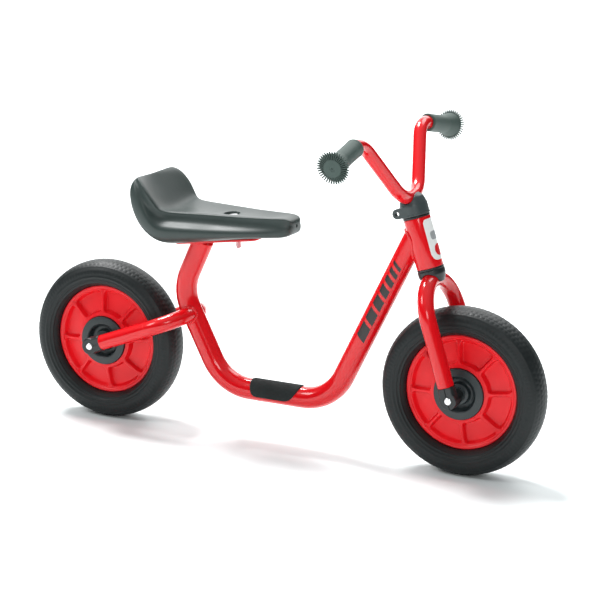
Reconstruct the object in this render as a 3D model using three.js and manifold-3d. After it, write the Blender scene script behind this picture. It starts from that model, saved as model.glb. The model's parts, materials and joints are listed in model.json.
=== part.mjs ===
// A child's balance bike: a bent steel main tube with a welded rear fork, a moulded saddle, a turning
// inverted-U fork with a V-shaped handlebar, and two wheels with moulded rims on ball bearings.
// Millimetres, +X forward, +Y to the rider's left, +Z up. The origin is on the ground, midway between the
// axles.
import * as THREE from "three";
import { mergeVertices } from "three/addons/utils/BufferGeometryUtils.js";
import Module from "manifold-3d";

// ---- driving dimensions -------------------------------------------------------------------------------
const wheelbase = 536;
const steerTilt = THREE.MathUtils.degToRad(18.5); // the steering axis leans back from the front axle
const gap = 0.3; // left between pieces that touch

// wheels
const tyreRadius = 113;
const tyreWidth = 49;
const rimRadius = tyreRadius - 36;
const tyreMiddle = (tyreRadius + rimRadius) / 2 - 1; // radius at which the tyre is widest
const rimBed = rimRadius - 4; // radius of the groove that keeps the tyre in place
const rimLipWidth = 3;
const rimLip = 11; // half width of the rim at its outer ring
const rimWeb = 2; // half thickness of the web between the panels
const rimBoss = 18.6; // half width of the rim at its centre
const rimSlope = 1.5; // of the panels' outer walls
const panelOuter = rimRadius - 7;
const panelInner = 40;
const ribCount = 8;
const ribWidth = 3.4;
const ribPhase = THREE.MathUtils.degToRad(10);
const wheelFacets = 36;

// axles, the bearings on them, and the knuckles that hold them
const axleRadius = 4;
const axleClearance = 0.2;
const axleNutRadius = axleRadius + 0.9;
const axleNutProud = 0.6;
const axleNutDepth = 6;
const bearingRadius = axleRadius + 7;
const bearingWidth = 7;
const bearingSpacerRadius = axleRadius + 2;
const spacerRadius = axleRadius + 2.5;
const hubCapRadius = 34.5;
const hubCapThickness = 3;
const hubCapHole = spacerRadius + 1;
const hubCapLip = 1.2; // how far the lip round its hole stands proud
const hubCapWall = 1.3;
const hubCapFace = rimBoss + gap + hubCapThickness;
const hubWell = { top: 24, bottom: 20, inner: bearingRadius + 3.4, depth: 8 }; // round channel in the cap

// tubes: outer radius and wall. The stem of the handlebar fits in the steerer, and that in the head tube.
const mainTube = { radius: 15, wall: 2 };
const forkTube = { radius: 11, wall: 1.8 };
const barTube = { radius: 9, wall: 1.6 };
const stemTube = { radius: barTube.radius + 1.2, wall: 2 };
const steererTube = { radius: stemTube.radius + 2.5, wall: 2 };
const headTube = { radius: steererTube.radius + 5.3, wall: 3 };

// knuckles
const knuckleRadius = forkTube.radius + 0.8;
const knuckleFace = 58.6; // outer face of a knuckle, from the centre plane
const knuckleStart = hubCapFace + 2.7; // its inner face
const plugLength = 22;
const legEnd = 18; // tube end, from the axle

// main tube: corners of its centre line, and bend radii
const kneeAngle = THREE.MathUtils.degToRad(36.12); // of the knee above the rear axle
const kneeReach = tyreRadius + mainTube.radius + 15.85; // from the rear axle
const kneeCorner = {
  x: -wheelbase / 2 + kneeReach * Math.cos(kneeAngle),
  z: tyreRadius + kneeReach * Math.sin(kneeAngle),
};
const kneeBend = 60;
const bottomTubeHeight = tyreRadius - 43.5;
const bottomRearCorner = kneeCorner.x + 66.8;
const bottomFrontCorner = wheelbase / 2 - tyreRadius - 77;
const bottomBend = 66;
const seatTubeLean = THREE.MathUtils.degToRad(23.8);

// heights along the steering axis, from the front axle
const crownHeight = tyreRadius + 39;
const headBottom = crownHeight + forkTube.radius + 5;
const headTop = headBottom + 67;
const downTubeMeets = headBottom + 53;
const steererTop = headTop + 12;
const stemBottom = headTop - 39;
const stemPinHeight = headTop + 8;
const barBottom = headTop - 1.4; // where the handlebar arms' centre lines would cross
const barCheek = barBottom + 26; // top of the stem
const collarTop = headTop + 33;

// head bushes
const bushFlange = 2.4;
const bushSleeve = 16;
const bushClearance = 0.1;

// fork and rear fork: half distance between the legs, and bend radii
const forkSpread = 50.5;
const crownBend = 50;
const staySpread = 50.5;
const stayBend = 44;
const stayBelowKnee = 7.5; // where the stays meet the main tube, down its straight from the knee

// handlebar and grips
const stemPinRadius = 2.5;
const barLean = THREE.MathUtils.degToRad(1.3); // back from the steering axis
const barBottomBend = 52;
const barArmAngle = THREE.MathUtils.degToRad(39.8); // from the steering axis
const barKneeOut = 97.5;
const barKneeBend = 35;
const gripDroop = THREE.MathUtils.degToRad(10.6);
const gripStart = 21.2; // from the knee's corner, along the grip
const gripLength = 79;
const gripRadius = barTube.radius + 3;
const gripFlangeRadius = 21.5;
const gripFlangeRoot = 14.6;
const gripFlangeWidth = 7.5;
const gripTeeth = 38;
const gripEndWall = 3;

// collar over the top of the head, its lug, and the cup below the head
const collarRadius = headTube.radius + 1;
const collarBore = steererTube.radius + 0.3;
const lugReach = collarRadius + 5.5;
const lugHoleRadius = 3.2;
const lugThickness = 8;
const lugHeight = 13.5;
const lugLift = 1.5; // of the lug's lower edge, above the collar's foot
const cupRadius = headTube.radius + 0.4;
const cupDepth = 17;

// saddle, its plate and its bolt
const plateTilt = THREE.MathUtils.degToRad(8.4);
const plateLength = 126;
const plateWidth = 50;
const plateThickness = 3;
const plateCorner = 8;
const plateRear = { x: kneeCorner.x - 0.2, z: kneeCorner.z + 67.8 }; // lower rear corner
const seatWall = 5;
const seatBoltRadius = 4;
const seatBoltFromRear = 82.5; // along the plate
const seatTopHeight = 34.5; // of the saddle's top above the plate's underside, at the bolt
const seatRecessDepth = 6;
const seatRecessRadius = seatBoltRadius + 6.5;
const seatBossRadius = seatRecessRadius + 1.5;
const seatOpeningInset = 6; // of the opening under the saddle, inside the plate's outline
const seatVent = { radius: 2.4, x: 170, z: 40.4 };
const boltHead = { radius: seatBoltRadius + 4.5, height: 3 };
const boltTail = 2; // below the nut
const washer = { radius: seatBoltRadius + 4.5, thickness: 1.6 };
const nut = { flats: 2 * seatBoltRadius + 5, height: 10.5 };

// foot pad on the bottom tube
const padLength = 75;
const padStart = (bottomRearCorner + bottomFrontCorner) / 2 + 0.5 - padLength / 2;
const padThickness = 1.2;
const padWrap = THREE.MathUtils.degToRad(112);
const padDraw = { rear: 9, front: 17 }; // how much shorter it is along its lower edges

// ---- materials ----------------------------------------------------------------------------------------
const paint = new THREE.MeshStandardMaterial({ color: 0xd8141c, roughness: 0.25, metalness: 0.1 });
const redPlastic = new THREE.MeshStandardMaterial({ color: 0xe02a30, roughness: 0.4, metalness: 0 });
const greyPlastic = new THREE.MeshStandardMaterial({ color: 0x464d4c, roughness: 0.5, metalness: 0 });
const blackPlastic = new THREE.MeshStandardMaterial({ color: 0x23282a, roughness: 0.5, metalness: 0 });
const rubber = new THREE.MeshStandardMaterial({ color: 0x1d2021, roughness: 0.85, metalness: 0 });
const grit = new THREE.MeshStandardMaterial({ color: 0x2b2f2f, roughness: 0.95, metalness: 0 });
const steel = new THREE.MeshStandardMaterial({ color: 0xc4c8ca, roughness: 0.3, metalness: 1 });

// ---- solids -------------------------------------------------------------------------------------------
const wasm = await Module();
wasm.setup();

function toSolid(geometry) {
  const bare = new THREE.BufferGeometry();
  const source = geometry.index ? geometry.toNonIndexed() : geometry;
  bare.setAttribute("position", source.getAttribute("position"));
  const merged = mergeVertices(bare, 1e-4);
  return new wasm.Manifold(
    new wasm.Mesh({
      numProp: 3,
      vertProperties: merged.attributes.position.array,
      triVerts: new Uint32Array(merged.index.array),
    }),
  );
}

function toGeometry(solid) {
  const mesh = solid.getMesh();
  const geometry = new THREE.BufferGeometry();
  geometry.setAttribute("position", new THREE.BufferAttribute(mesh.vertProperties, 3));
  geometry.setIndex(new THREE.BufferAttribute(mesh.triVerts, 1));
  return geometry;
}

const cut = (geometry, ...tools) =>
  toGeometry(tools.reduce((solid, tool) => solid.subtract(toSolid(tool)), toSolid(geometry)));
const join = (...geometries) => toGeometry(geometries.map(toSolid).reduce((a, b) => a.add(b)));
const overlap = (a, b) => toGeometry(toSolid(a).intersect(toSolid(b)));

// A path through corner points with a round bend at each inner corner. It has one step for each straight,
// and bendSteps for each bend, so its tubes carry no needless rings.
class BentPath extends THREE.Curve {
  constructor(corners, bends, bendSteps = 5) {
    super();
    this.stations = [{ at: corners[0], along: corners[1].clone().sub(corners[0]).normalize() }];
    this.bendEnds = [];
    for (let i = 1; i < corners.length - 1; i++) {
      const into = corners[i].clone().sub(corners[i - 1]).normalize();
      const out = corners[i + 1].clone().sub(corners[i]).normalize();
      const turn = into.angleTo(out);
      const radius = bends[i - 1];
      const start = corners[i].clone().addScaledVector(into, -radius * Math.tan(turn / 2));
      const side = out.clone().addScaledVector(into, -out.dot(into)).normalize();
      const centre = start.clone().addScaledVector(side, radius);
      for (let k = 0; k <= bendSteps; k++) {
        const angle = (turn * k) / bendSteps;
        const at = centre
          .clone()
          .addScaledVector(side, -radius * Math.cos(angle))
          .addScaledVector(into, radius * Math.sin(angle));
        const along = into.clone().multiplyScalar(Math.cos(angle)).addScaledVector(side, Math.sin(angle));
        this.stations.push({ at, along });
      }
      this.bendEnds.push(this.stations.at(-1));
    }
    const last = corners.length - 1;
    const along = corners[last].clone().sub(corners[last - 1]).normalize();
    this.stations.push({ at: corners[last], along });
    this.steps = this.stations.length - 1;
  }
  station(share) {
    return this.stations[Math.round(share * this.steps)];
  }
  getPoint(share, target = new THREE.Vector3()) {
    return target.copy(this.station(share).at);
  }
  getPointAt(share, target) {
    return this.getPoint(share, target);
  }
  getTangentAt(share, target = new THREE.Vector3()) {
    return target.copy(this.station(share).along);
  }
}

function circle(radius, sides) {
  const turn = (2 * Math.PI) / sides;
  const points = [];
  for (let i = 0; i < sides; i++) {
    points.push(new THREE.Vector2(radius * Math.cos(i * turn), radius * Math.sin(i * turn)));
  }
  return points;
}

// A bore's flats, not its corners, lie at the radius asked for.
const boreCorner = (radius, sides) => radius / Math.cos(Math.PI / sides);

function sweep(path, outer, inner = 0, sides = 18) {
  const section = new THREE.Shape(circle(outer, sides));
  const boreSides = Math.round(sides * 0.55);
  if (inner > 0) section.holes.push(new THREE.Path(circle(boreCorner(inner, boreSides), boreSides)));
  return new THREE.ExtrudeGeometry(section, { steps: path.steps, extrudePath: path });
}

// A solid or hollow round bar between two heights on +Z.
function bar(outer, from, to, inner = 0, sides = 24) {
  const bore = boreCorner(inner, sides);
  const profile =
    inner > 0
      ? [[bore, from], [outer, from], [outer, to], [bore, to], [bore, from]]
      : [[0, from], [outer, from], [outer, to], [0, to]];
  return lathe(profile, sides);
}

// A profile of [radius, height] points turned about +Z. A closed profile runs anticlockwise.
function lathe(profile, segments) {
  const geometry = new THREE.LatheGeometry(
    profile.map(([r, h]) => new THREE.Vector2(r, h)),
    segments,
  );
  return geometry.rotateX(Math.PI / 2).rotateZ(Math.PI / segments);
}

// The same about +Y, where height runs from right (-) to left (+).
const latheAcross = (profile, segments) => lathe(profile, segments).rotateX(-Math.PI / 2);
const barAcross = (...sizes) => bar(...sizes).rotateX(-Math.PI / 2);

// An outline raised along +Z.
const raise = (outline, depth, curveSegments) =>
  new THREE.ExtrudeGeometry(outline, { depth, bevelEnabled: false, curveSegments });

const point = (x, y, z) => new THREE.Vector3(x, y, z);

const bike = new THREE.Group();
bike.name = "balance_bike";

function add(group, name, geometry, material) {
  const mesh = new THREE.Mesh(geometry, material);
  mesh.name = name;
  group.add(mesh);
  return mesh;
}

const sides = [
  { name: "right", y: -1 },
  { name: "left", y: 1 },
];

// ---- steering frame: origin on the front axle, +Z up the steering axis --------------------------------
const frontAxle = point(wheelbase / 2, 0, tyreRadius);
const rearAxle = point(-wheelbase / 2, 0, tyreRadius);
const steering = new THREE.Group();
steering.position.copy(frontAxle);
steering.rotation.y = -steerTilt;
steering.updateMatrix();
bike.add(steering);
const onSteeringAxis = (height) => point(0, 0, height).applyMatrix4(steering.matrix);

// ---- main tube and what is welded to it ---------------------------------------------------------------
const plateAlong = point(Math.cos(plateTilt), 0, Math.sin(plateTilt));
const plateUp = point(-Math.sin(plateTilt), 0, Math.cos(plateTilt));
const plateOrigin = point(plateRear.x, 0, plateRear.z);

// Where the seat tube's centre line comes up to the plate's underside.
function seatTubeTop(clearance) {
  const lean = point(Math.sin(seatTubeLean), 0, Math.cos(seatTubeLean));
  const knee = point(kneeCorner.x, 0, kneeCorner.z);
  const rise = plateOrigin.clone().sub(knee).dot(plateUp) - clearance;
  return knee.addScaledVector(lean, rise / lean.dot(plateUp));
}

const mainPath = new BentPath(
  [
    seatTubeTop(-20),
    point(kneeCorner.x, 0, kneeCorner.z),
    point(bottomRearCorner, 0, bottomTubeHeight),
    point(bottomFrontCorner, 0, bottomTubeHeight),
    onSteeringAxis(downTubeMeets),
  ],
  [kneeBend, bottomBend, bottomBend],
);

function mainTubeGeometry() {
  const headClearance = bar(headTube.radius + gap, headBottom - 40, headTop + 40, 0, 24);
  headClearance.applyMatrix4(steering.matrix);
  const abovePlate = new THREE.BoxGeometry(100, 100, 60);
  abovePlate.translate(0, 0, 30 - gap).rotateY(-plateTilt);
  abovePlate.translate(plateOrigin.x + 30, 0, plateOrigin.z + 30 * Math.tan(plateTilt));
  const tube = sweep(mainPath, mainTube.radius, mainTube.radius - mainTube.wall, 20);
  return cut(tube, headClearance, abovePlate);
}
add(bike, "main_tube", mainTubeGeometry(), paint);

const headBore = headTube.radius - headTube.wall;
add(steering, "head_tube", bar(headTube.radius, headBottom, headTop, headBore, 24), paint);

// Each stay runs straight from the rear axle, then turns in to the main tube's side just below its knee.
const stayMeets = mainPath.bendEnds[0].at.clone();
stayMeets.addScaledVector(mainPath.bendEnds[0].along, stayBelowKnee);
const stayAlong = stayMeets.clone().sub(rearAxle).normalize();
const stayReach = stayMeets.distanceTo(rearAxle);
const stayTilt = Math.atan2(stayAlong.z, stayAlong.x);

function stayGeometry(side) {
  const out = point(0, side.y * staySpread, 0);
  const path = new BentPath(
    [
      rearAxle.clone().addScaledVector(stayAlong, legEnd).add(out),
      rearAxle.clone().addScaledVector(stayAlong, stayReach).add(out),
      stayMeets.clone(),
    ],
    [stayBend],
  );
  const stay = sweep(path, forkTube.radius, forkTube.radius - forkTube.wall, 16);
  return cut(stay, sweep(mainPath, mainTube.radius + gap, 0, 20));
}
for (const side of sides) add(bike, "rear_stay_" + side.name, stayGeometry(side), paint);

// ---- saddle -------------------------------------------------------------------------------------------
// Cross-sections from the nose tip to the top of the back, measured from the plate's lower rear corner.
// Each gives its crest and its underside as [x, z], the half widths at the crest and at the shoulder below
// it, how deep the top is dished, and how far up the shoulder is.
const seatRows = [
  { crest: [173.5, 41.9], low: [173.5, 37.9], crestHalf: 4, half: 5, dish: 0, shoulder: 0.5 },
  { crest: [173, 46.4], low: [173, 33.4], crestHalf: 12, half: 14, dish: 0, shoulder: 0.45 },
  { crest: [170, 50.4], low: [170.5, 28.9], crestHalf: 17, half: 20, dish: 0.3, shoulder: 0.4 },
  { crest: [161, 52.6], low: [163, 25.4], crestHalf: 20.5, half: 25, dish: 1, shoulder: 0.36 },
  { crest: [146, 52], low: [148, 24.2], crestHalf: 24, half: 31, dish: 2, shoulder: 0.34 },
  { crest: [112, 51], low: [115, 20.8], crestHalf: 29, half: 41, dish: 3, shoulder: 0.36 },
  { crest: [75, 51], low: [76, 15], crestHalf: 34.5, half: 51, dish: 4, shoulder: 0.44 },
  { crest: [39, 51], low: [40, 9.4], crestHalf: 41, half: 60, dish: 5.5, shoulder: 0.52 },
  { crest: [12, 50.8], low: [10, 4.4], crestHalf: 46.5, half: 66, dish: 6.5, shoulder: 0.57 },
  { crest: [0, 51.2], low: [-6, 4.4], crestHalf: 50, half: 68, dish: 7, shoulder: 0.59 },
  { crest: [-7.5, 53.9], low: [-20, 10.9], crestHalf: 54, half: 67.5, dish: 8, shoulder: 0.61 },
  { crest: [-13.5, 62.4], low: [-33, 22.4], crestHalf: 58, half: 67, dish: 9.5, shoulder: 0.62 },
  { crest: [-21, 73.4], low: [-43.5, 38.4], crestHalf: 60, half: 65.5, dish: 10.5, shoulder: 0.62 },
  { crest: [-30, 83.9], low: [-51.5, 59.4], crestHalf: 58.5, half: 62, dish: 10, shoulder: 0.6 },
  { crest: [-38, 90.9], low: [-54, 76.4], crestHalf: 54, half: 57, dish: 8, shoulder: 0.55 },
  { crest: [-44.5, 92.9], low: [-51.5, 86.4], crestHalf: 47, half: 49, dish: 4, shoulder: 0.5 },
  { crest: [-47.5, 91.4], low: [-50, 88.9], crestHalf: 41.5, half: 42, dish: 1.5, shoulder: 0.5 },
];

// Half a cross-section from the middle of the top round to the middle of the underside. The height is a
// share of the way above or below the shoulder. Then come the shares of the dish, of the crest's half width,
// and of the flare from the crest out to the shoulder.
const seatSection = [
  { above: 1, dish: 1, crest: 0, flare: 0 },
  { above: 1, dish: 0.8, crest: 0.45, flare: 0 },
  { above: 1, dish: 0.1, crest: 0.88, flare: 0 },
  { above: 0.93, dish: 0, crest: 1, flare: 0.05 },
  { above: 0.55, dish: 0, crest: 1, flare: 0.1 },
  { above: 0.2, dish: 0, crest: 1, flare: 0.6 },
  { above: 0, dish: 0, crest: 1, flare: 1 },
  { below: 0.6, dish: 0, crest: 1, flare: 0.95 },
  { below: 0.3, dish: 0, crest: 1, flare: 0.65 },
  { below: 0.08, dish: 0, crest: 0.95, flare: 0 },
  { below: 0, dish: 0, crest: 0.7, flare: 0 },
  { below: 0, dish: 0, crest: 0, flare: 0 },
];

// A saddle of that shape, drawn in by wall all round. A cylinder's rings become the saddle's cross-sections.
function saddle(wall) {
  const halfAround = seatSection.length - 1;
  const rows = wall > 0 ? seatRows.slice(2, -2) : seatRows;
  const geometry = new THREE.CylinderGeometry(1, 1, 1, 2 * halfAround, rows.length - 1);
  const position = geometry.getAttribute("position");
  for (let i = 0; i < position.count; i++) {
    const row = rows[Math.round((0.5 - position.getY(i)) * (rows.length - 1))];
    const crest = point(row.crest[0], 0, row.crest[1]).add(plateOrigin);
    const low = point(row.low[0], 0, row.low[1]).add(plateOrigin);
    const upward = crest.clone().sub(low).normalize();
    const height = crest.distanceTo(low) - 2 * wall;
    const angle = Math.atan2(position.getX(i), position.getZ(i));
    const onRing = Math.hypot(position.getX(i), position.getZ(i)) > 0.5;
    const place = seatSection[Math.round((Math.abs(angle) / Math.PI) * halfAround)];
    const above = row.shoulder + (1 - row.shoulder) * place.above;
    const up = "above" in place ? above : row.shoulder * place.below;
    const crestHalf = row.crestHalf - wall;
    const reach = crestHalf * place.crest + (row.half - row.crestHalf) * place.flare;
    const rise = onRing ? wall + height * up - row.dish * place.dish : wall + height / 2;
    low.addScaledVector(upward, rise);
    position.setXYZ(i, low.x, onRing ? -Math.sign(angle) * reach : 0, low.z);
  }
  return geometry;
}

// Places a geometry made upright round the seat bolt: heights count from the plate's underside.
const boltFoot = plateOrigin.clone().addScaledVector(plateAlong, seatBoltFromRear);
const onPlate = (geometry) => geometry.rotateY(-plateTilt).translate(boltFoot.x, 0, boltFoot.z);
const recessFloor = seatTopHeight - seatRecessDepth;

function plateBlock(grow, from, to) {
  const outline = new THREE.Shape();
  const half = plateWidth / 2 + grow;
  const corner = plateCorner + grow;
  const back = -seatBoltFromRear - grow;
  const front = plateLength - seatBoltFromRear + grow;
  outline.moveTo(back + corner, -half);
  outline.lineTo(front - corner, -half);
  outline.absarc(front - corner, -half + corner, corner, -Math.PI / 2, 0);
  outline.absarc(front - corner, half - corner, corner, 0, Math.PI / 2);
  outline.absarc(back + corner, half - corner, corner, Math.PI / 2, Math.PI);
  outline.absarc(back + corner, -half + corner, corner, Math.PI, 1.5 * Math.PI);
  return raise(outline, to - from, 4).translate(0, 0, from);
}

// The saddle is hollow and open underneath, inside the plate's outline, with a boss round the bolt.
function seatGeometry() {
  const boss = onPlate(bar(seatBossRadius, -20, seatTopHeight + 10, 0, 20));
  const opening = onPlate(plateBlock(-seatOpeningInset, -20, plateThickness + 2 * seatWall));
  const hollow = cut(join(saddle(seatWall), opening), boss);
  const abovePlate = onPlate(plateBlock(0.6, -20, plateThickness + gap));
  const boltHole = onPlate(bar(seatBoltRadius + gap, -20, seatTopHeight + 20, 0, 16));
  const recess = onPlate(bar(seatRecessRadius, recessFloor, seatTopHeight + 20, 0, 24));
  const vent = new THREE.CylinderGeometry(seatVent.radius, seatVent.radius, 40, 10);
  vent.rotateZ(Math.PI / 2).translate(plateOrigin.x + seatVent.x, 0, plateOrigin.z + seatVent.z);
  return cut(saddle(0), hollow, abovePlate, boltHole, recess, vent);
}
add(bike, "seat", seatGeometry(), greyPlastic);

const boltClearance = onPlate(bar(seatBoltRadius + gap, -20, 20, 0, 16));
add(bike, "seat_plate", cut(onPlate(plateBlock(0, 0, plateThickness)), boltClearance), paint);

const nutTop = -2 * gap - washer.thickness;
const seatBolt = join(
  bar(seatBoltRadius, nutTop - nut.height - boltTail, recessFloor + 1, 0, 16),
  bar(boltHead.radius, recessFloor + gap, recessFloor + gap + boltHead.height, 0, 20),
);
add(bike, "seat_bolt", onPlate(seatBolt), steel);
const washerGeometry = bar(washer.radius, -gap - washer.thickness, -gap, seatBoltRadius + gap, 20);
add(bike, "seat_washer", onPlate(washerGeometry), steel);
const nutCorner = nut.flats / 2 / Math.cos(Math.PI / 6);
add(bike, "seat_nut", onPlate(bar(nutCorner, nutTop - nut.height, nutTop, seatBoltRadius + gap, 6)), steel);

// ---- foot pad -----------------------------------------------------------------------------------------
function footPadGeometry() {
  const inner = mainTube.radius + gap;
  const outer = inner + padThickness;
  const arc = new THREE.Shape();
  arc.absarc(0, 0, outer, Math.PI / 2 - padWrap, Math.PI / 2 + padWrap, false);
  arc.absarc(0, 0, inner, Math.PI / 2 + padWrap, Math.PI / 2 - padWrap, true);
  const sleeve = raise(arc, padLength, 12);
  sleeve.rotateY(Math.PI / 2).rotateX(Math.PI / 2);
  const outline = new THREE.Shape();
  outline.moveTo(0, 20);
  outline.lineTo(0, 9);
  outline.quadraticCurveTo(padDraw.rear * 0.3, -7, padDraw.rear + 5, -7);
  outline.lineTo(padLength - padDraw.front - 5, -7);
  outline.quadraticCurveTo(padLength - padDraw.front * 0.5, -5, padLength, 11);
  outline.lineTo(padLength, 20);
  const stamp = raise(outline, 60, 6);
  stamp.rotateX(Math.PI / 2).translate(0, 30, 0);
  const pad = overlap(sleeve, stamp);
  return pad.translate(padStart, 0, bottomTubeHeight);
}
add(bike, "foot_pad", footPadGeometry(), grit);

// ---- fork, steerer and handlebar ----------------------------------------------------------------------
const legFoot = (side) => point(0, side.y * forkSpread, legEnd);
const forkPath = new BentPath(
  [
    legFoot(sides[0]),
    point(0, -forkSpread, crownHeight),
    point(0, forkSpread, crownHeight),
    legFoot(sides[1]),
  ],
  [crownBend, crownBend],
  7,
);
add(steering, "fork", sweep(forkPath, forkTube.radius, forkTube.radius - forkTube.wall, 18), paint);
const forkClearance = () => sweep(forkPath, forkTube.radius + gap, 0, 18);

const barKnee = point(0, barKneeOut, barBottom + barKneeOut / Math.tan(barArmAngle));
const gripAlong = point(0, Math.cos(gripDroop), -Math.sin(gripDroop));
const gripEnd = gripStart + gripLength;
const barEnd = barKnee.clone().addScaledVector(gripAlong, gripEnd - gripEndWall - gap);
const mirrored = (v) => point(v.x, -v.y, v.z);
const leaning = new THREE.Matrix4().makeRotationY(-barLean);
leaning.setPosition(barBottom * Math.sin(barLean), 0, barBottom * (1 - Math.cos(barLean)));
const barPath = new BentPath(
  [mirrored(barEnd), mirrored(barKnee), point(0, 0, barBottom), barKnee, barEnd].map((v) =>
    v.clone().applyMatrix4(leaning),
  ),
  [barKneeBend, barBottomBend, barKneeBend],
);
add(steering, "handlebar", sweep(barPath, barTube.radius, barTube.radius - barTube.wall, 16), paint);
const barClearance = () => sweep(barPath, barTube.radius + gap, 0, 16);

const acrossStem = (geometry) => geometry.rotateY(Math.PI / 2).translate(0, 0, stemPinHeight);
const pinHole = () => acrossStem(bar(stemPinRadius + gap, -30, 30, 0, 12));
const steerer = bar(steererTube.radius, crownHeight, steererTop, steererTube.radius - steererTube.wall, 20);
add(steering, "steerer", cut(steerer, forkClearance(), pinHole()), paint);
const stem = bar(stemTube.radius, stemBottom, barCheek, stemTube.radius - stemTube.wall, 18);
add(steering, "stem", cut(stem, barClearance(), pinHole()), paint);
const pinReach = steererTube.radius - gap;
add(steering, "stem_pin", acrossStem(bar(stemPinRadius, -pinReach, pinReach, stemPinRadius - 1, 12)), steel);

// Plain bushes in the head tube: a sleeve inside it, and a flange on its end.
function bushGeometry(end, inward) {
  const sleeveRadius = headTube.radius - headTube.wall - gap;
  const bore = steererTube.radius + bushClearance;
  const face = end - inward * gap;
  const rim = face - inward * bushFlange;
  const tip = end + inward * bushSleeve;
  const flange = bar(headTube.radius, Math.min(face, rim), Math.max(face, rim), bore, 20);
  const sleeve = bar(sleeveRadius, Math.min(rim, tip), Math.max(rim, tip), bore, 20);
  return join(flange, sleeve);
}
add(steering, "upper_bush", bushGeometry(headTop, -1), blackPlastic);
add(steering, "lower_bush", bushGeometry(headBottom, 1), blackPlastic);

const cupTop = headBottom - 2 * gap - bushFlange;
const cupProfile = [
  [steererTube.radius + gap, cupTop - cupDepth],
  [cupRadius - 4.4, cupTop - cupDepth],
  [cupRadius - 2, cupTop - 0.75 * cupDepth],
  [cupRadius, cupTop - 0.4 * cupDepth],
  [cupRadius, cupTop],
  [steererTube.radius + gap, cupTop],
  [steererTube.radius + gap, cupTop - cupDepth],
];
add(steering, "lower_cup", cut(lathe(cupProfile, 20), forkClearance()), greyPlastic);

function collarGeometry() {
  const foot = headTop + bushFlange + 2 * gap;
  const profile = [
    [0, foot],
    [collarRadius, foot],
    [collarRadius, foot + 16],
    [collarRadius - 1.5, collarTop - 9],
    [collarRadius - 4.5, collarTop - 4],
    [collarRadius - 9, collarTop - 0.5],
    [0, collarTop],
  ];
  const end = lugHeight / 2;
  const outline = new THREE.Shape();
  outline.moveTo(0, -lugHeight / 2);
  outline.lineTo(0, lugHeight / 2);
  outline.lineTo(-lugReach + end, lugHeight / 2);
  outline.absarc(-lugReach + end, 0, end, Math.PI / 2, 1.5 * Math.PI, false);
  const hole = new THREE.Path();
  hole.absarc(-lugReach + end, 0, lugHoleRadius, 0, 2 * Math.PI, true);
  outline.holes.push(hole);
  const lug = raise(outline, lugThickness, 10);
  lug.rotateX(Math.PI / 2).translate(0, lugThickness - collarRadius + 0.5, foot + end + lugLift);
  const slot = new THREE.BoxGeometry(2 * (barTube.radius + gap), 120, 60);
  slot.translate(0, 0, barCheek + 30);
  const bore = bar(collarBore, foot - 10, steererTop + 1, 0, 20);
  const stemHole = bar(stemTube.radius + gap, foot, collarTop + 10, 0, 18);
  return cut(join(lathe(profile, 24), lug), bore, stemHole, barClearance(), slot);
}
add(steering, "collar", collarGeometry(), greyPlastic);

function gripGeometry(side) {
  const teeth = new THREE.Shape();
  const turn = Math.PI / gripTeeth;
  for (let i = 0; i < 2 * gripTeeth; i++) {
    const r = i % 2 ? gripFlangeRoot : gripFlangeRadius;
    const x = r * Math.cos(i * turn);
    const y = r * Math.sin(i * turn);
    if (i) teeth.lineTo(x, y);
    else teeth.moveTo(x, y);
  }
  const flange = raise(teeth, gripFlangeWidth, 1).translate(0, 0, gripEnd - gripFlangeWidth);
  const barrel = bar(gripRadius, gripStart, gripEnd - 1, 0, 24);
  const bore = bar(barTube.radius + gap, gripStart - 20, gripEnd - gripEndWall, 0, 20);
  const grip = cut(join(flange, barrel), bore);
  grip.rotateX(-side.y * (Math.PI / 2 + gripDroop));
  return grip.translate(0, side.y * barKnee.y, barKnee.z).applyMatrix4(leaning);
}
for (const side of sides) add(steering, "grip_" + side.name, gripGeometry(side), greyPlastic);

// ---- knuckles, axles and wheels -----------------------------------------------------------------------
// A knuckle plugs a leg's end and carries the axle. It is made with its leg running up +Z.
function knuckleGeometry(side, legY) {
  const plug = bar(forkTube.radius - forkTube.wall - gap, -legEnd, plugLength, 0, 16);
  const body = bar(knuckleRadius, -legEnd - 2, -gap, 0, 16);
  const leg = join(plug, body).translate(0, side.y * legY, legEnd);
  const barrel = barAcross(knuckleRadius, knuckleStart, knuckleFace, 0, 16);
  const outside = new THREE.BoxGeometry(60, 40, 120).translate(0, side.y * (knuckleFace + 20), 0);
  const axleHole = barAcross(axleRadius + gap, -80, 80, 0, 12);
  const nutHole = barAcross(axleNutRadius + gap, knuckleFace - axleNutDepth, knuckleFace + 10, 0, 14);
  for (const geometry of [barrel, nutHole]) if (side.y < 0) geometry.rotateZ(Math.PI);
  return cut(join(leg, barrel), outside, axleHole, nutHole);
}

function axleSet(group, end, legY, turn) {
  for (const side of sides) {
    const knuckle = add(group, end + "_knuckle_" + side.name, knuckleGeometry(side, legY), blackPlastic);
    knuckle.rotation.y = turn;
    const nutInner = knuckleFace - axleNutDepth + gap;
    const nutBody = barAcross(axleNutRadius, nutInner, knuckleFace + axleNutProud, 0, 14);
    const thread = barAcross(axleRadius + axleClearance, -80, knuckleFace - 1, 0, 12);
    const spacer = barAcross(spacerRadius, rimBoss, knuckleStart - gap, axleRadius + gap, 12);
    const nutGeometry = cut(nutBody, thread);
    for (const geometry of [nutGeometry, spacer]) if (side.y < 0) geometry.rotateZ(Math.PI);
    add(group, end + "_axle_nut_" + side.name, nutGeometry, steel);
    add(group, end + "_spacer_" + side.name, spacer, steel);
  }
  const reach = knuckleFace - 1.4;
  add(group, end + "_axle", barAcross(axleRadius, -reach, reach, 0, 12), steel);
}
axleSet(steering, "front", forkSpread, 0);

const rear = new THREE.Group();
rear.position.copy(rearAxle);
bike.add(rear);
axleSet(rear, "rear", staySpread, Math.PI / 2 - stayTilt);

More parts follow.
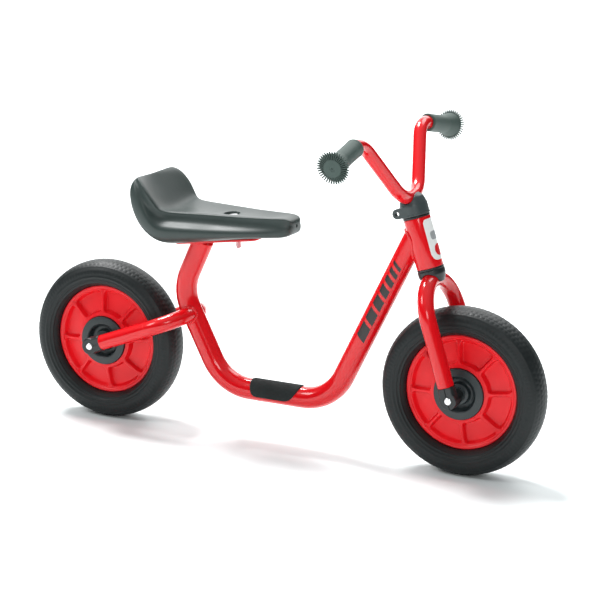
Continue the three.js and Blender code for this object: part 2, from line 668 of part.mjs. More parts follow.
function tyreGeometry() {
  const profile = [];
  const steps = 12;
  const reach = THREE.MathUtils.degToRad(150);
  for (let i = 0; i <= steps; i++) {
    const angle = reach * ((2 * i) / steps - 1);
    const radius = tyreMiddle + (tyreRadius - tyreMiddle) * Math.cos(angle);
    profile.push([radius, (tyreWidth / 2) * Math.sin(angle)]);
  }
  const seat = rimRadius + gap;
  const bed = rimBed + gap;
  const key = rimLip - rimLipWidth - gap;
  profile.push([seat, key], [bed, key], [bed, -key], [seat, -key]);
  profile.push(profile[0]);
  return latheAcross(profile, wheelFacets);
}

function rimGeometry() {
  const bore = bearingRadius + gap;
  const inner = panelInner - 2;
  const groove = rimLip - rimLipWidth;
  const wellOuter = hubWell.top + hubCapWall + gap;
  const wellInner = hubWell.inner - hubCapWall - gap;
  const wellFloor = hubCapFace - hubWell.depth - hubCapWall - gap;
  const half = [
    [rimBed, groove], [rimRadius, groove], [rimRadius, rimLip],
    [panelOuter + rimSlope, rimLip], [panelOuter - rimSlope, rimWeb],
    [panelInner + 1, rimWeb], [inner, rimBoss], [wellOuter, rimBoss], [wellOuter, wellFloor],
    [wellInner, wellFloor], [wellInner, rimBoss], [bore, rimBoss], [bore, rimBoss - bearingWidth - 1],
    [bearingRadius - 2, rimBoss - bearingWidth - 1],
  ];
  const other = half.map(([r, y]) => [r, -y]).reverse();
  const profile = [...half, ...other];
  profile.push(profile[0]);
  const disc = latheAcross(profile, wheelFacets);
  // One rib plate stands out on both faces; its edges slope from the outer ring up to the boss.
  const outline = new THREE.Shape();
  outline.moveTo(panelOuter + 1, rimLip - 1.2);
  outline.lineTo(panelInner - 1, rimBoss - 1.6);
  outline.lineTo(panelInner - 1, -rimBoss + 1.6);
  outline.lineTo(panelOuter + 1, -rimLip + 1.2);
  const ribs = [];
  for (let i = 0; i < ribCount; i++) {
    const rib = raise(outline, ribWidth, 1);
    ribs.push(rib.translate(0, 0, -ribWidth / 2).rotateY((2 * Math.PI * i) / ribCount - ribPhase));
  }
  return join(disc, ...ribs);
}

function hubCapGeometry() {
  const base = rimBoss + gap;
  const face = hubCapFace;
  const floor = face - hubWell.depth;
  const roof = base + hubCapWall;
  const sleeve = hubWell.inner - hubCapWall;
  const lip = hubCapHole + hubCapWall;
  const profile = [
    [hubCapHole, base], [sleeve, base], [sleeve, floor - hubCapWall],
    [hubWell.bottom + hubCapWall, floor - hubCapWall], [hubWell.top + hubCapWall, base],
    [hubCapRadius, base], [hubCapRadius, face - 1], [hubCapRadius - 1, face], [hubWell.top, face],
    [hubWell.bottom, floor], [hubWell.inner, floor], [hubWell.inner, roof], [lip, roof],
    [lip, face + hubCapLip], [hubCapHole, face + hubCapLip], [hubCapHole, base],
  ];
  return latheAcross(profile, 28);
}

function bearingGeometry() {
  const outer = rimBoss - gap;
  return barAcross(bearingRadius, outer - bearingWidth, outer, axleRadius + axleClearance, 16);
}

// Each wheel stands with a corner of its facets at the bottom, so it reaches the ground.
function wheel(group, end, tilt) {
  const spinning = new THREE.Group();
  spinning.rotation.y = tilt + Math.PI / wheelFacets;
  group.add(spinning);
  add(spinning, end + "_tyre", tyreGeometry(), rubber);
  add(spinning, end + "_rim", rimGeometry(), redPlastic);
  for (const side of sides) {
    const cap = hubCapGeometry();
    const bearing = bearingGeometry();
    for (const geometry of [cap, bearing]) if (side.y < 0) geometry.rotateZ(Math.PI);
    add(spinning, end + "_hub_cap_" + side.name, cap, blackPlastic);
    add(spinning, end + "_bearing_" + side.name, bearing, steel);
  }
  const reach = rimBoss - bearingWidth - 2 * gap;
  const tube = barAcross(bearingSpacerRadius, -reach, reach, axleRadius + gap, 12);
  add(group, end + "_bearing_spacer", tube, steel);
}
wheel(steering, "front", steerTilt);
wheel(rear, "rear", 0);

export default bike;
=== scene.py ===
import json
import math
import random

import bpy
from mathutils import Matrix, Vector


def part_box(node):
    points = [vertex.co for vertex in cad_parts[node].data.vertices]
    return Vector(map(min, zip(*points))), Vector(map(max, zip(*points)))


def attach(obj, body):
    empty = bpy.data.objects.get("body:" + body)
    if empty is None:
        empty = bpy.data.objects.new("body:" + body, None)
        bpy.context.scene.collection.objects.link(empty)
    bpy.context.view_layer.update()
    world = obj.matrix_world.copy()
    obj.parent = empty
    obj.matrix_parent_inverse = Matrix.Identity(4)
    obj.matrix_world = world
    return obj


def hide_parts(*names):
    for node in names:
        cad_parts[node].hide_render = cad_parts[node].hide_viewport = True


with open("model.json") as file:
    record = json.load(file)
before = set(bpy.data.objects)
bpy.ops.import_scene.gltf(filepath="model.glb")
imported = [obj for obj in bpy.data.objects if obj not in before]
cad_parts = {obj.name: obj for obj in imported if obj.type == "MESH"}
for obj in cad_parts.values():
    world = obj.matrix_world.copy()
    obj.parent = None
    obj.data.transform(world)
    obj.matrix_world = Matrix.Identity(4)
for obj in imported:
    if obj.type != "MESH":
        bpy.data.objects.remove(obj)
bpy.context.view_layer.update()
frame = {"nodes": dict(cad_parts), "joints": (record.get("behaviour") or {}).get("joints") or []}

random.seed(7)
print("frame loaded:", len(frame["nodes"]), "nodes")

# Shapes are drawn in millimetres, and a place matrix puts them on the bike in metres.
mm = 0.001
tau = 2 * math.pi
sides = {"right": -1, "left": 1}
unplaced = Matrix.Identity(4)


def boxMiddle(node):
    low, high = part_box(node)
    return (low + high) / 2


def placeAt(where, turnY=0.0):
    return Matrix.Translation(where) @ Matrix.Rotation(turnY, 4, "Y") @ Matrix.Scale(mm, 4)


steerAxis = Vector(next(j for j in frame["joints"] if j["name"] == "steering_turn")["axis"]).normalized()
steerTilt = math.atan2(-steerAxis.x, steerAxis.z)
frontAxle = boxMiddle("front_axle")
rearAxle = boxMiddle("rear_axle")
onBike = placeAt((0, 0, 0))
onSteering = placeAt(frontAxle, -steerTilt)
onFrontWheel = placeAt(frontAxle)
onRearWheel = placeAt(rearAxle)
rearHub = rearAxle / mm


def arithmetic(operation, swapped=False):
    def apply(wire, other):
        pair = (other, wire) if swapped else (wire, other)
        return wire.finish.add("ShaderNodeMath", {"operation": operation}, dict(enumerate(pair)))

    return apply


class Wire:  # a socket that takes part in arithmetic
    def __init__(self, finish, socket):
        self.finish, self.socket = finish, socket

    __add__, __radd__ = arithmetic("ADD"), arithmetic("ADD", True)
    __sub__, __rsub__ = arithmetic("SUBTRACT"), arithmetic("SUBTRACT", True)
    __mul__, __rmul__ = arithmetic("MULTIPLY"), arithmetic("MULTIPLY", True)
    __gt__ = arithmetic("GREATER_THAN")


class Finish:  # one material and its nodes
    def __init__(self, name, **constants):
        self.material = bpy.data.materials.new(name)
        self.material.use_nodes = True
        self.tree = self.material.node_tree
        self.shader = self.tree.nodes["Principled BSDF"]
        for socket, value in constants.items():
            self.shader.inputs[socket.replace("_", " ")].default_value = value
        self.here = self.add("ShaderNodeTexCoord", {}, {}, "Object")

    def add(self, kind, settings, inputs, output=0):
        node = self.tree.nodes.new(kind)
        for key, value in settings.items():
            setattr(node, key, value)
        for key, value in inputs.items():
            if isinstance(value, Wire):
                self.tree.links.new(value.socket, node.inputs[key])
            else:
                node.inputs[key].default_value = value
        return Wire(self, node.outputs[output])

    def noise(self, scale, detail=3, roughness=0.5, stretch=(1, 1, 1)):
        place = self.add("ShaderNodeMapping", {}, {"Vector": self.here, "Scale": stretch})
        inputs = {"Vector": place, "Scale": scale, "Detail": detail, "Roughness": roughness}
        return self.add("ShaderNodeTexNoise", {}, inputs)

    def cells(self, scale, feature="F1"):
        inputs = {"Vector": self.here, "Scale": scale}
        return self.add("ShaderNodeTexVoronoi", {"feature": feature}, inputs, "Distance")

    def blend(self, share, first, second):
        inputs = {0: share, 6: (*first, 1), 7: (*second, 1)}
        return self.add("ShaderNodeMix", {"data_type": "RGBA"}, inputs, 2)

    def fade(self, value, low, high, start=0.0, end=1.0):
        inputs = {"Value": value, "From Min": low, "From Max": high, "To Min": start, "To Max": end}
        return self.add("ShaderNodeMapRange", {}, inputs)

    def feed(self, **wires):
        for socket, wire in wires.items():
            self.tree.links.new(wire.socket, self.shader.inputs[socket.replace("_", " ")])

    def bump(self, height, depth, strength=1.0):  # depth in millimetres
        inputs = {"Height": height, "Distance": depth * mm, "Strength": strength}
        self.feed(Normal=self.add("ShaderNodeBump", {}, inputs))


def glossPaint():
    # Powder coat: a faint orange peel, thin haze where hands and shoes rub, and a few fine specks.
    f = Finish("redGlossPaint", Coat_Roughness=0.035, Coat_IOR=1.45, Specular_IOR_Level=0.25)
    cloud = f.noise(9, 2)
    rub = f.fade(f.noise(60, 4, 0.65), 0.52, 0.78)
    speck = f.cells(420) > 0.035
    f.feed(Base_Color=f.blend(cloud * speck, (0.62, 0.0025, 0.006), (0.72, 0.004, 0.009)))
    f.feed(Roughness=0.2 + rub * 0.12, Coat_Weight=0.7 - rub * 0.3)
    f.bump(f.noise(520, 2) + 0.35 * f.noise(95, 1), 0.05, 0.5)
    return f.material


def mouldedPlastic(name, dark, light, roughness, grain, depth, cloudScale, shine):
    # Moulded plastic: fine pitted grain, soft flow marks, and shine that varies a little.
    f = Finish(name, Specular_IOR_Level=shine)
    flowMarks = f.noise(cloudScale, 3, 0.55)
    scuff = f.fade(f.noise(240, 5, 0.7), 0.58, 0.76)
    pits = f.cells(grain, "SMOOTH_F1")
    f.feed(Base_Color=f.blend(f.fade(flowMarks + 0.35 * scuff, 0.3, 0.95), dark, light))
    f.feed(Roughness=f.fade(flowMarks, 0.3, 0.7, roughness - 0.05, roughness + 0.07) + 0.05 * scuff)
    f.bump(pits + 0.4 * f.noise(grain * 0.45, 3), depth, 0.7)
    return f.material


def tyreRubber():
    # Black rubber: mould grain, pale dust lying in low spots, duller patches.
    f = Finish("tyreRubber", Specular_IOR_Level=0.38)
    dust = f.fade(f.noise(55, 5, 0.65), 0.5, 0.8)
    grain = f.noise(1400, 4, 0.6)
    f.feed(Base_Color=f.blend(dust * 0.5, (0.0032, 0.0062, 0.0066), (0.013, 0.018, 0.019)))
    f.feed(Roughness=f.fade(grain, 0.3, 0.7, 0.42, 0.54) + 0.12 * dust)
    f.bump(grain + 0.6 * f.cells(900), 0.06, 0.6)
    return f.material


def gritPad():
    # Anti-slip sheet: sharp black grains in a tar-like binder, some catching the light.
    f = Finish("gritPad", Specular_IOR_Level=0.35)
    grains = f.cells(850)
    glint = f.noise(2600, 2) > 0.63
    patch = f.noise(40, 3)
    f.feed(Base_Color=f.blend(0.35 * patch + 0.65 * glint, (0.0035, 0.006, 0.006), (0.045, 0.055, 0.054)))
    f.feed(Roughness=0.88 - 0.3 * glint)
    f.bump(1 - grains, 0.35, 1.0)
    return f.material


def platedSteel():
    # Zinc plate: pale metal with fine turning marks and a little bloom.
    f = Finish("platedSteel", Metallic=1.0)
    turning = f.noise(900, 2, 0.5, (1, 0.05, 1))
    bloom = f.noise(160, 3)
    f.feed(Base_Color=f.blend(bloom, (0.72, 0.73, 0.75), (0.9, 0.9, 0.9)))
    f.feed(Roughness=0.2 + 0.22 * turning)
    f.bump(turning, 0.02, 0.5)
    return f.material


def vinyl(name, colour, worn):
    # Printed sticker film: satin, with soft wear.
    f = Finish(name, Coat_Roughness=0.2)
    wear = f.fade(f.noise(300, 5, 0.7), 0.55, 0.8)
    f.feed(Base_Color=f.blend(wear * 0.5, colour, worn))
    f.feed(Roughness=0.3 + 0.2 * wear)
    f.bump(f.noise(700, 2), 0.02, 0.5)
    return f.material


plastics = {  # dark and light colour, roughness, scale and depth of the grain, scale of the clouds, shine
    "rim": ("redPlastic", (0.76, 0.005, 0.011), (0.86, 0.009, 0.017), 0.32, 1900, 0.02, 14, 0.35),
    "seat": ("seatPlastic", (0.021, 0.034, 0.031), (0.029, 0.044, 0.041), 0.42, 1500, 0.04, 18, 0.5),
    "grey": ("greyPlastic", (0.032, 0.045, 0.046), (0.043, 0.057, 0.058), 0.38, 1500, 0.05, 30, 0.5),
    "grip": ("gripPlastic", (0.052, 0.078, 0.069), (0.068, 0.096, 0.086), 0.58, 1250, 0.08, 30, 0.3),
    "black": ("blackPlastic", (0.007, 0.01, 0.011), (0.013, 0.017, 0.018), 0.34, 1600, 0.05, 40, 0.5),
    "cap": ("hubCapPlastic", (0.016, 0.023, 0.025), (0.024, 0.032, 0.034), 0.4, 1600, 0.05, 40, 0.5),
}
finishes = {key: mouldedPlastic(*settings) for key, settings in plastics.items()}
finishes |= {
    "paint": glossPaint(),
    "tyre": tyreRubber(),
    "grit": gritPad(),
    "steel": platedSteel(),
    "darkVinyl": vinyl("darkVinyl", (0.012, 0.009, 0.009), (0.09, 0.014, 0.016)),
    "greyVinyl": vinyl("greyVinyl", (0.32, 0.33, 0.34), (0.5, 0.5, 0.5)),
    "redVinyl": vinyl("redVinyl", (0.62, 0.006, 0.012), (0.6, 0.05, 0.05)),
    "whiteVinyl": vinyl("whiteVinyl", (0.78, 0.78, 0.77), (0.62, 0.6, 0.59)),
}
print("finishes made:", len(finishes))


def linked(name, data):
    thing = bpy.data.objects.new(name, data)
    bpy.context.collection.objects.link(thing)
    return thing


def makeObject(name, shape, place=onBike):
    verts, faces = shape
    mesh = bpy.data.meshes.new(name)
    mesh.from_pydata([place @ Vector(v) for v in verts], [], faces)
    mesh.update()
    return linked(name, mesh)


def addPiece(name, shape, finish, body, replaced=(), place=onBike, keenAngle=40):
    thing = makeObject(name, shape, place)
    thing.data.materials.append(finishes[finish])
    thing.data.polygons.foreach_set("use_smooth", [True] * len(thing.data.polygons))
    thing.data.set_sharp_from_angle(angle=math.radians(keenAngle))
    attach(thing, body)
    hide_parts(*replaced)
    return thing


def merged(*shapes):
    verts, faces = [], []
    for some, rings in shapes:
        start = len(verts)
        verts += [Vector(v) for v in some]
        faces += [[start + i for i in ring] for ring in rings]
    return verts, faces


def moved(shape, matrix):
    return [matrix @ Vector(v) for v in shape[0]], shape[1]


def mirroredY(shape):
    return [Vector((v[0], -v[1], v[2])) for v in shape[0]], [list(reversed(f)) for f in shape[1]]


def filleted(corners, closed=False, steps=4):
    # Each corner is (x, y, fillet radius).
    line = []
    for i, (x, y, fillet) in enumerate(corners):
        corner = Vector((x, y))
        if not fillet or (not closed and i in (0, len(corners) - 1)):
            line.append((x, y))
            continue
        back = Vector(corners[i - 1][:2]) - corner
        on = Vector(corners[(i + 1) % len(corners)][:2]) - corner
        half = back.angle(on) / 2
        reach = min(fillet / math.tan(half), back.length * 0.49, on.length * 0.49)
        radius = reach * math.tan(half)
        centre = corner + (back.normalized() + on.normalized()).normalized() * (radius / math.sin(half))
        start = corner + back.normalized() * reach - centre
        end = corner + on.normalized() * reach - centre
        turn = math.atan2(start.x * end.y - start.y * end.x, start.dot(end))
        for k in range(steps + 1):
            line.append(tuple(centre + Matrix.Rotation(turn * k / steps, 2) @ start))
    return line


def circle(count):
    return [(math.cos(tau * k / count), math.sin(tau * k / count)) for k in range(count)]


def rod(radius, low, high):
    return [(0, low), (radius, low), (radius, high), (0, high)]


def turned(profile, around=64, closed=False):
    # A profile of (radius, height) turned about Z.
    verts, rings, faces = [], [], []
    for radius, height in profile:
        if radius < 1e-6:
            verts.append(Vector((0, 0, height)))
            rings.append([len(verts) - 1] * around)
            continue
        rings.append(range(len(verts), len(verts) + around))
        verts += [Vector((radius * c, radius * s, height)) for c, s in circle(around)]
    pairs = list(zip(rings, rings[1:])) + ([(rings[-1], rings[0])] if closed else [])
    for a, b in pairs:
        for k in range(around):
            j = (k + 1) % around
            ring = list(dict.fromkeys([a[k], a[j], b[j], b[k]]))
            if len(ring) > 2:
                faces.append(ring)
    return verts, faces


towardsLeft = Matrix.Rotation(-math.pi / 2, 4, "X")  # takes +Z to +Y


def turnedAcross(profile, side, around=64, closed=False):
    # The same about Y, with heights counted outwards on that side.
    shape = moved(turned(profile, around, closed), towardsLeft)
    return shape if side > 0 else mirroredY(shape)


def loopGrid(columns):
    # Columns of points that close on themselves, set round in a ring.
    count, depth = len(columns), len(columns[0])
    verts = [Vector(p) for column in columns for p in column]
    faces = []
    for i in range(count):
        for j in range(depth):
            a, b = i * depth, (i + 1) % count * depth
            k = (j + 1) % depth
            faces.append([a + j, a + k, b + k, b + j])
    return verts, faces


def stacked(rings, capped=True):
    # Rings of points, each joined to the next.
    n, faces = len(rings[0]), []
    verts = [p for ring in rings for p in ring]
    for i in range(len(rings) - 1):
        for k in range(n):
            j = (k + 1) % n
            faces.append([i * n + k, i * n + j, (i + 1) * n + j, (i + 1) * n + k])
    if capped:
        faces += [list(reversed(range(n))), list(range(len(verts) - n, len(verts)))]
    return verts, faces


def bentPath(corners, bends, bendStep=0.09):
    # (point, direction) stations along straight runs with round bends.
    corners = [Vector(c) for c in corners]
    stations = [(corners[0], (corners[1] - corners[0]).normalized())]
    for before, corner, after, radius in zip(corners, corners[1:], corners[2:], bends):
        into, out = (corner - before).normalized(), (after - corner).normalized()
        turn = into.angle(out)
        start = corner - into * radius * math.tan(turn / 2)
        inward = (out - into * out.dot(into)).normalized()
        centre = start + inward * radius
        steps = max(4, round(turn / bendStep))
        for k in range(steps + 1):
            a = turn * k / steps
            where = centre - inward * radius * math.cos(a) + into * radius * math.sin(a)
            stations.append((where, into * math.cos(a) + inward * math.sin(a)))
    stations.append((corners[-1], (corners[-1] - corners[-2]).normalized()))
    return stations


def tube(path, radius, around=44, lip=0.5, endRadius=None):
    # A round tube along a path that lies in one plane, its end edges slightly rounded.
    flat = path[0][1].cross(path[-1][1])
    if flat.length < 1e-3:
        flat = path[0][1].cross(path[len(path) // 2][1])
    if flat.length < 1e-3:
        flat = path[0][1].orthogonal()
    flat.normalize()
    endRadius = endRadius or radius
    length = [0.0]
    for (a, _), (b, _) in zip(path, path[1:]):
        length.append(length[-1] + (b - a).length)
    rings = [(path[0][0], path[0][1], radius - lip)]
    for i, (where, along) in enumerate(path):
        shift = along * (lip if i == 0 else -lip if i == len(path) - 1 else 0)
        rings.append((where + shift, along, radius + (endRadius - radius) * length[i] / length[-1]))
    rings.append((path[-1][0], path[-1][1], endRadius - lip))
    loops = []
    for where, along, r in rings:
        other = along.cross(flat).normalized()
        loops.append([where + (flat * c + other * s) * r for c, s in circle(around)])
    return stacked(loops)


def weldBead(loop, radius, ripples):
    # A bead of weld metal along a closed loop, with its small even ripples.
    centre = sum(loop, Vector()) / len(loop)
    columns = []
    for i, where in enumerate(loop):
        along = (loop[(i + 1) % len(loop)] - loop[i - 1]).normalized()
        outward = where - centre
        outward = (outward - along * outward.dot(along)).normalized()
        other = along.cross(outward)
        wave = tubes["rippleHeight"] * math.sin(tau * ripples * i / len(loop))
        r = radius * (1 + wave + random.uniform(-tubes["weldJitter"], tubes["weldJitter"]))
        columns.append([where + (outward * c + other * s) * r for c, s in circle(tubes["weldSides"])])
    return loopGrid(columns)


def meetingLoop(origin, along, radius, axisPoint, axis, axisRadius):
    # Where a tube of one radius, running from origin along its axis, meets the side of another.
    along, axis = along.normalized(), axis.normalized()
    across = axis.cross(along).normalized()
    up = along.cross(across)
    loop = []
    for c, s in circle(tubes["weldSteps"]):
        start = origin + (across * c + up * s) * radius
        w = start - axisPoint
        wFlat = w - axis * w.dot(axis)
        dFlat = along - axis * along.dot(axis)
        qa, qb, qc = dFlat.dot(dFlat), 2 * wFlat.dot(dFlat), wFlat.dot(wFlat) - axisRadius**2
        reach = (-qb - math.sqrt(max(qb * qb - 4 * qa * qc, 0))) / (2 * qa)
        loop.append(start + along * reach)
    return loop


def settled(thing, *helpers):
    # The shape an object has once its modifiers are applied. It and its helpers are then removed.
    bpy.context.view_layer.update()
    graph = bpy.context.evaluated_depsgraph_get()
    mesh = thing.evaluated_get(graph).to_mesh()
    shape = [v.co.copy() for v in mesh.vertices], [list(p.vertices) for p in mesh.polygons]
    thing.evaluated_get(graph).to_mesh_clear()
    for done in (thing, *helpers):
        bpy.data.objects.remove(done)
    return shape


def combine(core, shape, operation):
    tool = makeObject("tool", shape, unplaced)
    step = core.modifiers.new("step", "BOOLEAN")
    step.object, step.operation, step.solver = tool, operation, "EXACT"
    return tool


def moulded(base, adds=(), cuts=(), voxel=0.6, smooth=4, keenCuts=()):
    # Joins and cuts closed shapes, then softens every edge, as a mould does. keenCuts stay sharp.
    core = makeObject("core", base, unplaced)
    tools = [combine(core, shape, "UNION") for shape in adds]
    tools += [combine(core, shape, "DIFFERENCE") for shape in cuts]
    if voxel:
        step = core.modifiers.new("skin", "REMESH")
        step.mode, step.voxel_size = "VOXEL", voxel
        step = core.modifiers.new("soften", "SMOOTH")
        step.factor, step.iterations = 0.5, smooth
    tools += [combine(core, shape, "DIFFERENCE") for shape in keenCuts]
    return settled(core, *tools)


def boxShape(low, high):
    (x0, y0, z0), (x1, y1, z1) = low, high
    verts = [(x, y, z) for x in (x0, x1) for y in (y0, y1) for z in (z0, z1)]
    faces = [[0, 1, 3, 2], [4, 6, 7, 5], [0, 4, 5, 1], [2, 3, 7, 6], [0, 2, 6, 4], [1, 5, 7, 3]]
    return [Vector(v) for v in verts], faces


def slab(outline, low, high, rim=0.0):
    # An outline of (x, y) raised from low to high, with its two edges rounded by rim.
    middle = Vector((sum(p[0] for p in outline), sum(p[1] for p in outline))) / len(outline)
    levels = [(low, rim), (low + rim * 0.3, rim * 0.3), (low + rim, 0), (high - rim, 0)]
    levels += [(high - rim * 0.3, rim * 0.3), (high, rim)]
    levels = levels if rim else [(low, 0), (high, 0)]
    rings = []
    for height, inset in levels:
        points = [Vector(p) - (Vector(p) - middle).normalized() * inset for p in outline]
        rings.append([Vector((p.x, p.y, height)) for p in points])
    return stacked(rings)


# The main tube follows the same corners as its solid.
tubes = {
    "mainRadius": 15.0, "headRadius": 18.0, "forkRadius": 11.0, "barRadius": 9.0,
    "kneeCorner": (-151.8, 0, 197.8), "rearCorner": (-85, 0, 69.5), "frontCorner": (78, 0, 69.5),
    "kneeBend": 60, "bottomBend": 66, "seatTubeLean": math.radians(23.8), "seatTubeRise": 0.6,
    "downTubeMeets": 221, "downTubeStops": 12,
    "headBottom": 168, "headTop": 235, "headBore": 15.2, "headEdge": 0.8,
    "staySpread": 50.5, "stayBend": 44, "stayBelowKnee": 7.5, "stayThinner": 0.3, "legEnd": 18,
    "forkSpread": 50.5, "crownHeight": 152, "crownBend": 50,
    "weld": 2.3, "weldRipples": 26, "rippleHeight": 0.09, "weldJitter": 0.03, "weldSteps": 96,
    "weldSides": 12, "stayInside": 0.1, "beadFrom": 0.9,
}
plate = {
    "tilt": math.radians(8.4), "length": 126, "width": 50, "thickness": 3, "rearX": -152, "rearZ": 265.6,
    "corner": 8, "edge": 0.7,
}
plateAlong = Vector((math.cos(plate["tilt"]), 0, math.sin(plate["tilt"])))
plateUp = Vector((-math.sin(plate["tilt"]), 0, math.cos(plate["tilt"])))
plateOrigin = Vector((plate["rearX"], 0, plate["rearZ"]))


def onSteeringAxis(height, across=0.0, side=0.0):
    return (onSteering @ Vector((across, side, height))) / mm


def makeFrameTubes():
    t = tubes
    knee = Vector(t["kneeCorner"])
    lean = Vector((math.sin(t["seatTubeLean"]), 0, math.cos(t["seatTubeLean"])))
    seatTop = knee + lean * ((plateOrigin - knee).dot(plateUp) / lean.dot(plateUp))
    front = Vector(t["frontCorner"])
    meet = onSteeringAxis(t["downTubeMeets"])
    down = (meet - front).normalized()
    start, end = seatTop + lean * t["seatTubeRise"], meet - down * t["downTubeStops"]
    corners = [start, knee, t["rearCorner"], front, end]
    path = bentPath(corners, [t["kneeBend"], t["bottomBend"], t["bottomBend"]])
    addPiece("mainTube", tube(path, t["mainRadius"], 56), "paint", "frame", ["main_tube"])

    low, high, wide, bore, edge = t["headBottom"], t["headTop"], t["headRadius"], t["headBore"], t["headEdge"]
    wall = filleted([(bore, low, 0), (wide, low, edge), (wide, high, edge), (bore, high, 0)], True)
    addPiece("headTube", turned(wall, 72, True), "paint", "frame", ["head_tube"], onSteering)

    # The stays run straight from the axle, then turn in to the main tube's side just below its knee.
    into, out = (knee - seatTop).normalized(), (Vector(t["rearCorner"]) - knee).normalized()
    kneeEnd = knee + out * t["kneeBend"] * math.tan(into.angle(out) / 2)
    meets = kneeEnd + out * t["stayBelowKnee"]
    stayAlong = (meets - rearHub).normalized()
    welds = []
    for name, side in sides.items():
        wide = Vector((0, side * t["staySpread"], 0))
        ends = [rearHub + stayAlong * t["legEnd"] + wide, meets + wide, meets + wide * t["stayInside"]]
        path = bentPath(ends, [t["stayBend"]])
        stay = tube(path, t["forkRadius"] - t["stayThinner"], endRadius=t["forkRadius"])
        addPiece(f"rearStay_{name}", stay, "paint", "frame", [f"rear_stay_{name}"])
        origin, inward = meets + wide * t["beadFrom"], Vector((0, -side, 0))
        welds.append(meetingLoop(origin, inward, t["forkRadius"], kneeEnd, out, t["mainRadius"]))
    welds.append(meetingLoop(front, down, t["mainRadius"], onSteeringAxis(0), steerAxis, t["headRadius"]))
    across = Vector((0, 1, 0))
    up = lean.cross(across)
    tip = []
    for c, s in circle(t["weldSteps"]):
        start = knee + (across * c + up * s) * t["mainRadius"]
        tip.append(start + lean * ((plateOrigin - start).dot(plateUp) / lean.dot(plateUp)))
    welds.append(tip)
    for i, loop in enumerate(welds):
        addPiece(f"weld_{i + 1}", weldBead(loop, t["weld"], t["weldRipples"]), "paint", "frame", keenAngle=80)
    return stayAlong


stayAlong = makeFrameTubes()
print("frame tubes and welds made")


def makeSeatPlate():
    half, corner, front = plate["width"] / 2, plate["corner"], plate["length"]
    corners = [(0, -half, corner), (front, -half, corner), (front, half, corner), (0, half, corner)]
    shape = slab(filleted(corners, True, 8), 0, plate["thickness"], plate["edge"])
    place = onBike @ Matrix.Translation(plateOrigin) @ Matrix.Rotation(-plate["tilt"], 4, "Y")
    addPiece("seatPlate", shape, "paint", "frame", ["seat_plate"], place)


makeSeatPlate()

# Cross-sections of the saddle from the nose tip to the top of the back. Each has its crest and its
# underside (x, z), half widths at the crest and at the shoulder, the depth of the dish, and how high up
# the shoulder is.
saddle = {
    "rows": [
        ((21.5, 307.5), (21.5, 303.5), 4, 5, 0, 0.5),
        ((21, 312), (21, 299), 12, 14, 0, 0.45),
        ((18, 316), (18.5, 294.5), 17, 20, 0.3, 0.4),
        ((9, 318.2), (11, 291), 20.5, 25, 1, 0.36),
        ((-6, 317.6), (-4, 289.8), 24, 31, 2, 0.34),
        ((-40, 316.6), (-37, 286.4), 29, 41, 3, 0.36),
        ((-77, 316.6), (-76, 280.6), 34.5, 51, 4, 0.44),
        ((-113, 316.6), (-112, 275), 41, 60, 5.5, 0.52),
        ((-140, 316.4), (-142, 270), 46.5, 66, 6.5, 0.57),
        ((-152, 316.8), (-158, 270), 50, 68, 7, 0.59),
        ((-159.5, 319.5), (-172, 276.5), 54, 67.5, 8, 0.61),
        ((-165.5, 328), (-185, 288), 58, 67, 9.5, 0.62),
        ((-173, 339), (-195.5, 304), 60, 65.5, 10.5, 0.62),
        ((-182, 349.5), (-203.5, 325), 58.5, 62, 10, 0.6),
        ((-190, 356.5), (-206, 342), 54, 57, 8, 0.55),
        ((-196.5, 358.5), (-203.5, 352), 47, 49, 4, 0.5),
        ((-199.5, 357), (-202, 354.5), 41.5, 42, 1.5, 0.5),
    ],
    # Half a cross-section: whether the height counts above the shoulder (1) or below it (0), its share
    # there, the share of the dish, of the crest's half width, and of the flare to the shoulder.
    "section": [
        (1, 1, 1, 0, 0), (1, 1, 0.86, 0.36, 0), (1, 1, 0.42, 0.7, 0), (1, 1, 0.04, 0.91, 0),
        (1, 0.95, 0, 1, 0.06), (1, 0.8, 0, 1, 0.05), (1, 0.55, 0, 1, 0.08), (1, 0.3, 0, 1, 0.3),
        (1, 0.1, 0, 1, 0.85), (0, 0.9, 0, 1, 1.03), (0, 0.6, 0, 1, 0.98), (0, 0.32, 0, 1, 0.72),
        (0, 0.1, 0, 1, 0.2), (0, 0, 0, 0.8, 0), (0, 0, 0, 0.4, 0), (0, 0, 0, 0, 0),
    ],
    "levels": 3, "boltFromRear": 82.5, "topAbove": 300, "recessDepth": 6,
    # (radius, height) above the recess's floor, and above the saddle's top
    "recessFloor": [(0, 0), (9.3, 0), (10.5, 1.2)], "recessRim": [(10.6, -1.4), (12, 0.4), (13.5, 9), (0, 9)],
    "ventPlace": (18, 0, 306), "ventRadius": 2.4, "ventReach": 12,
}
# Heights of the bolt's head count from the recess's floor, the others from the plate's underside.
seatBolt = {
    "head": [(0, 4.6, 0), (6.5, 4.3, 1.2), (8.5, 2.2, 0.6), (8.5, 0.2, 0), (0, 0.2, 0)],
    "radius": 3.9, "end": [(3.9, -13.4), (3.1, -14.3), (0, -14.3)],
    "washer": [(4.3, -0.2, 0), (8.4, -0.2, 0.4), (8.4, -1.8, 0.4), (4.3, -1.8, 0)],
    "nutCorner": 7.5, "nutTop": -1.9, "nutBottom": -12.7, "nutBore": 4.2, "boreReach": (2, -16),
    "nutCone": [(0, -12.7), (5.6, -12.7), (8.2, -11), (8.2, -3), (5.9, -1.9), (0, -1.9)],
}


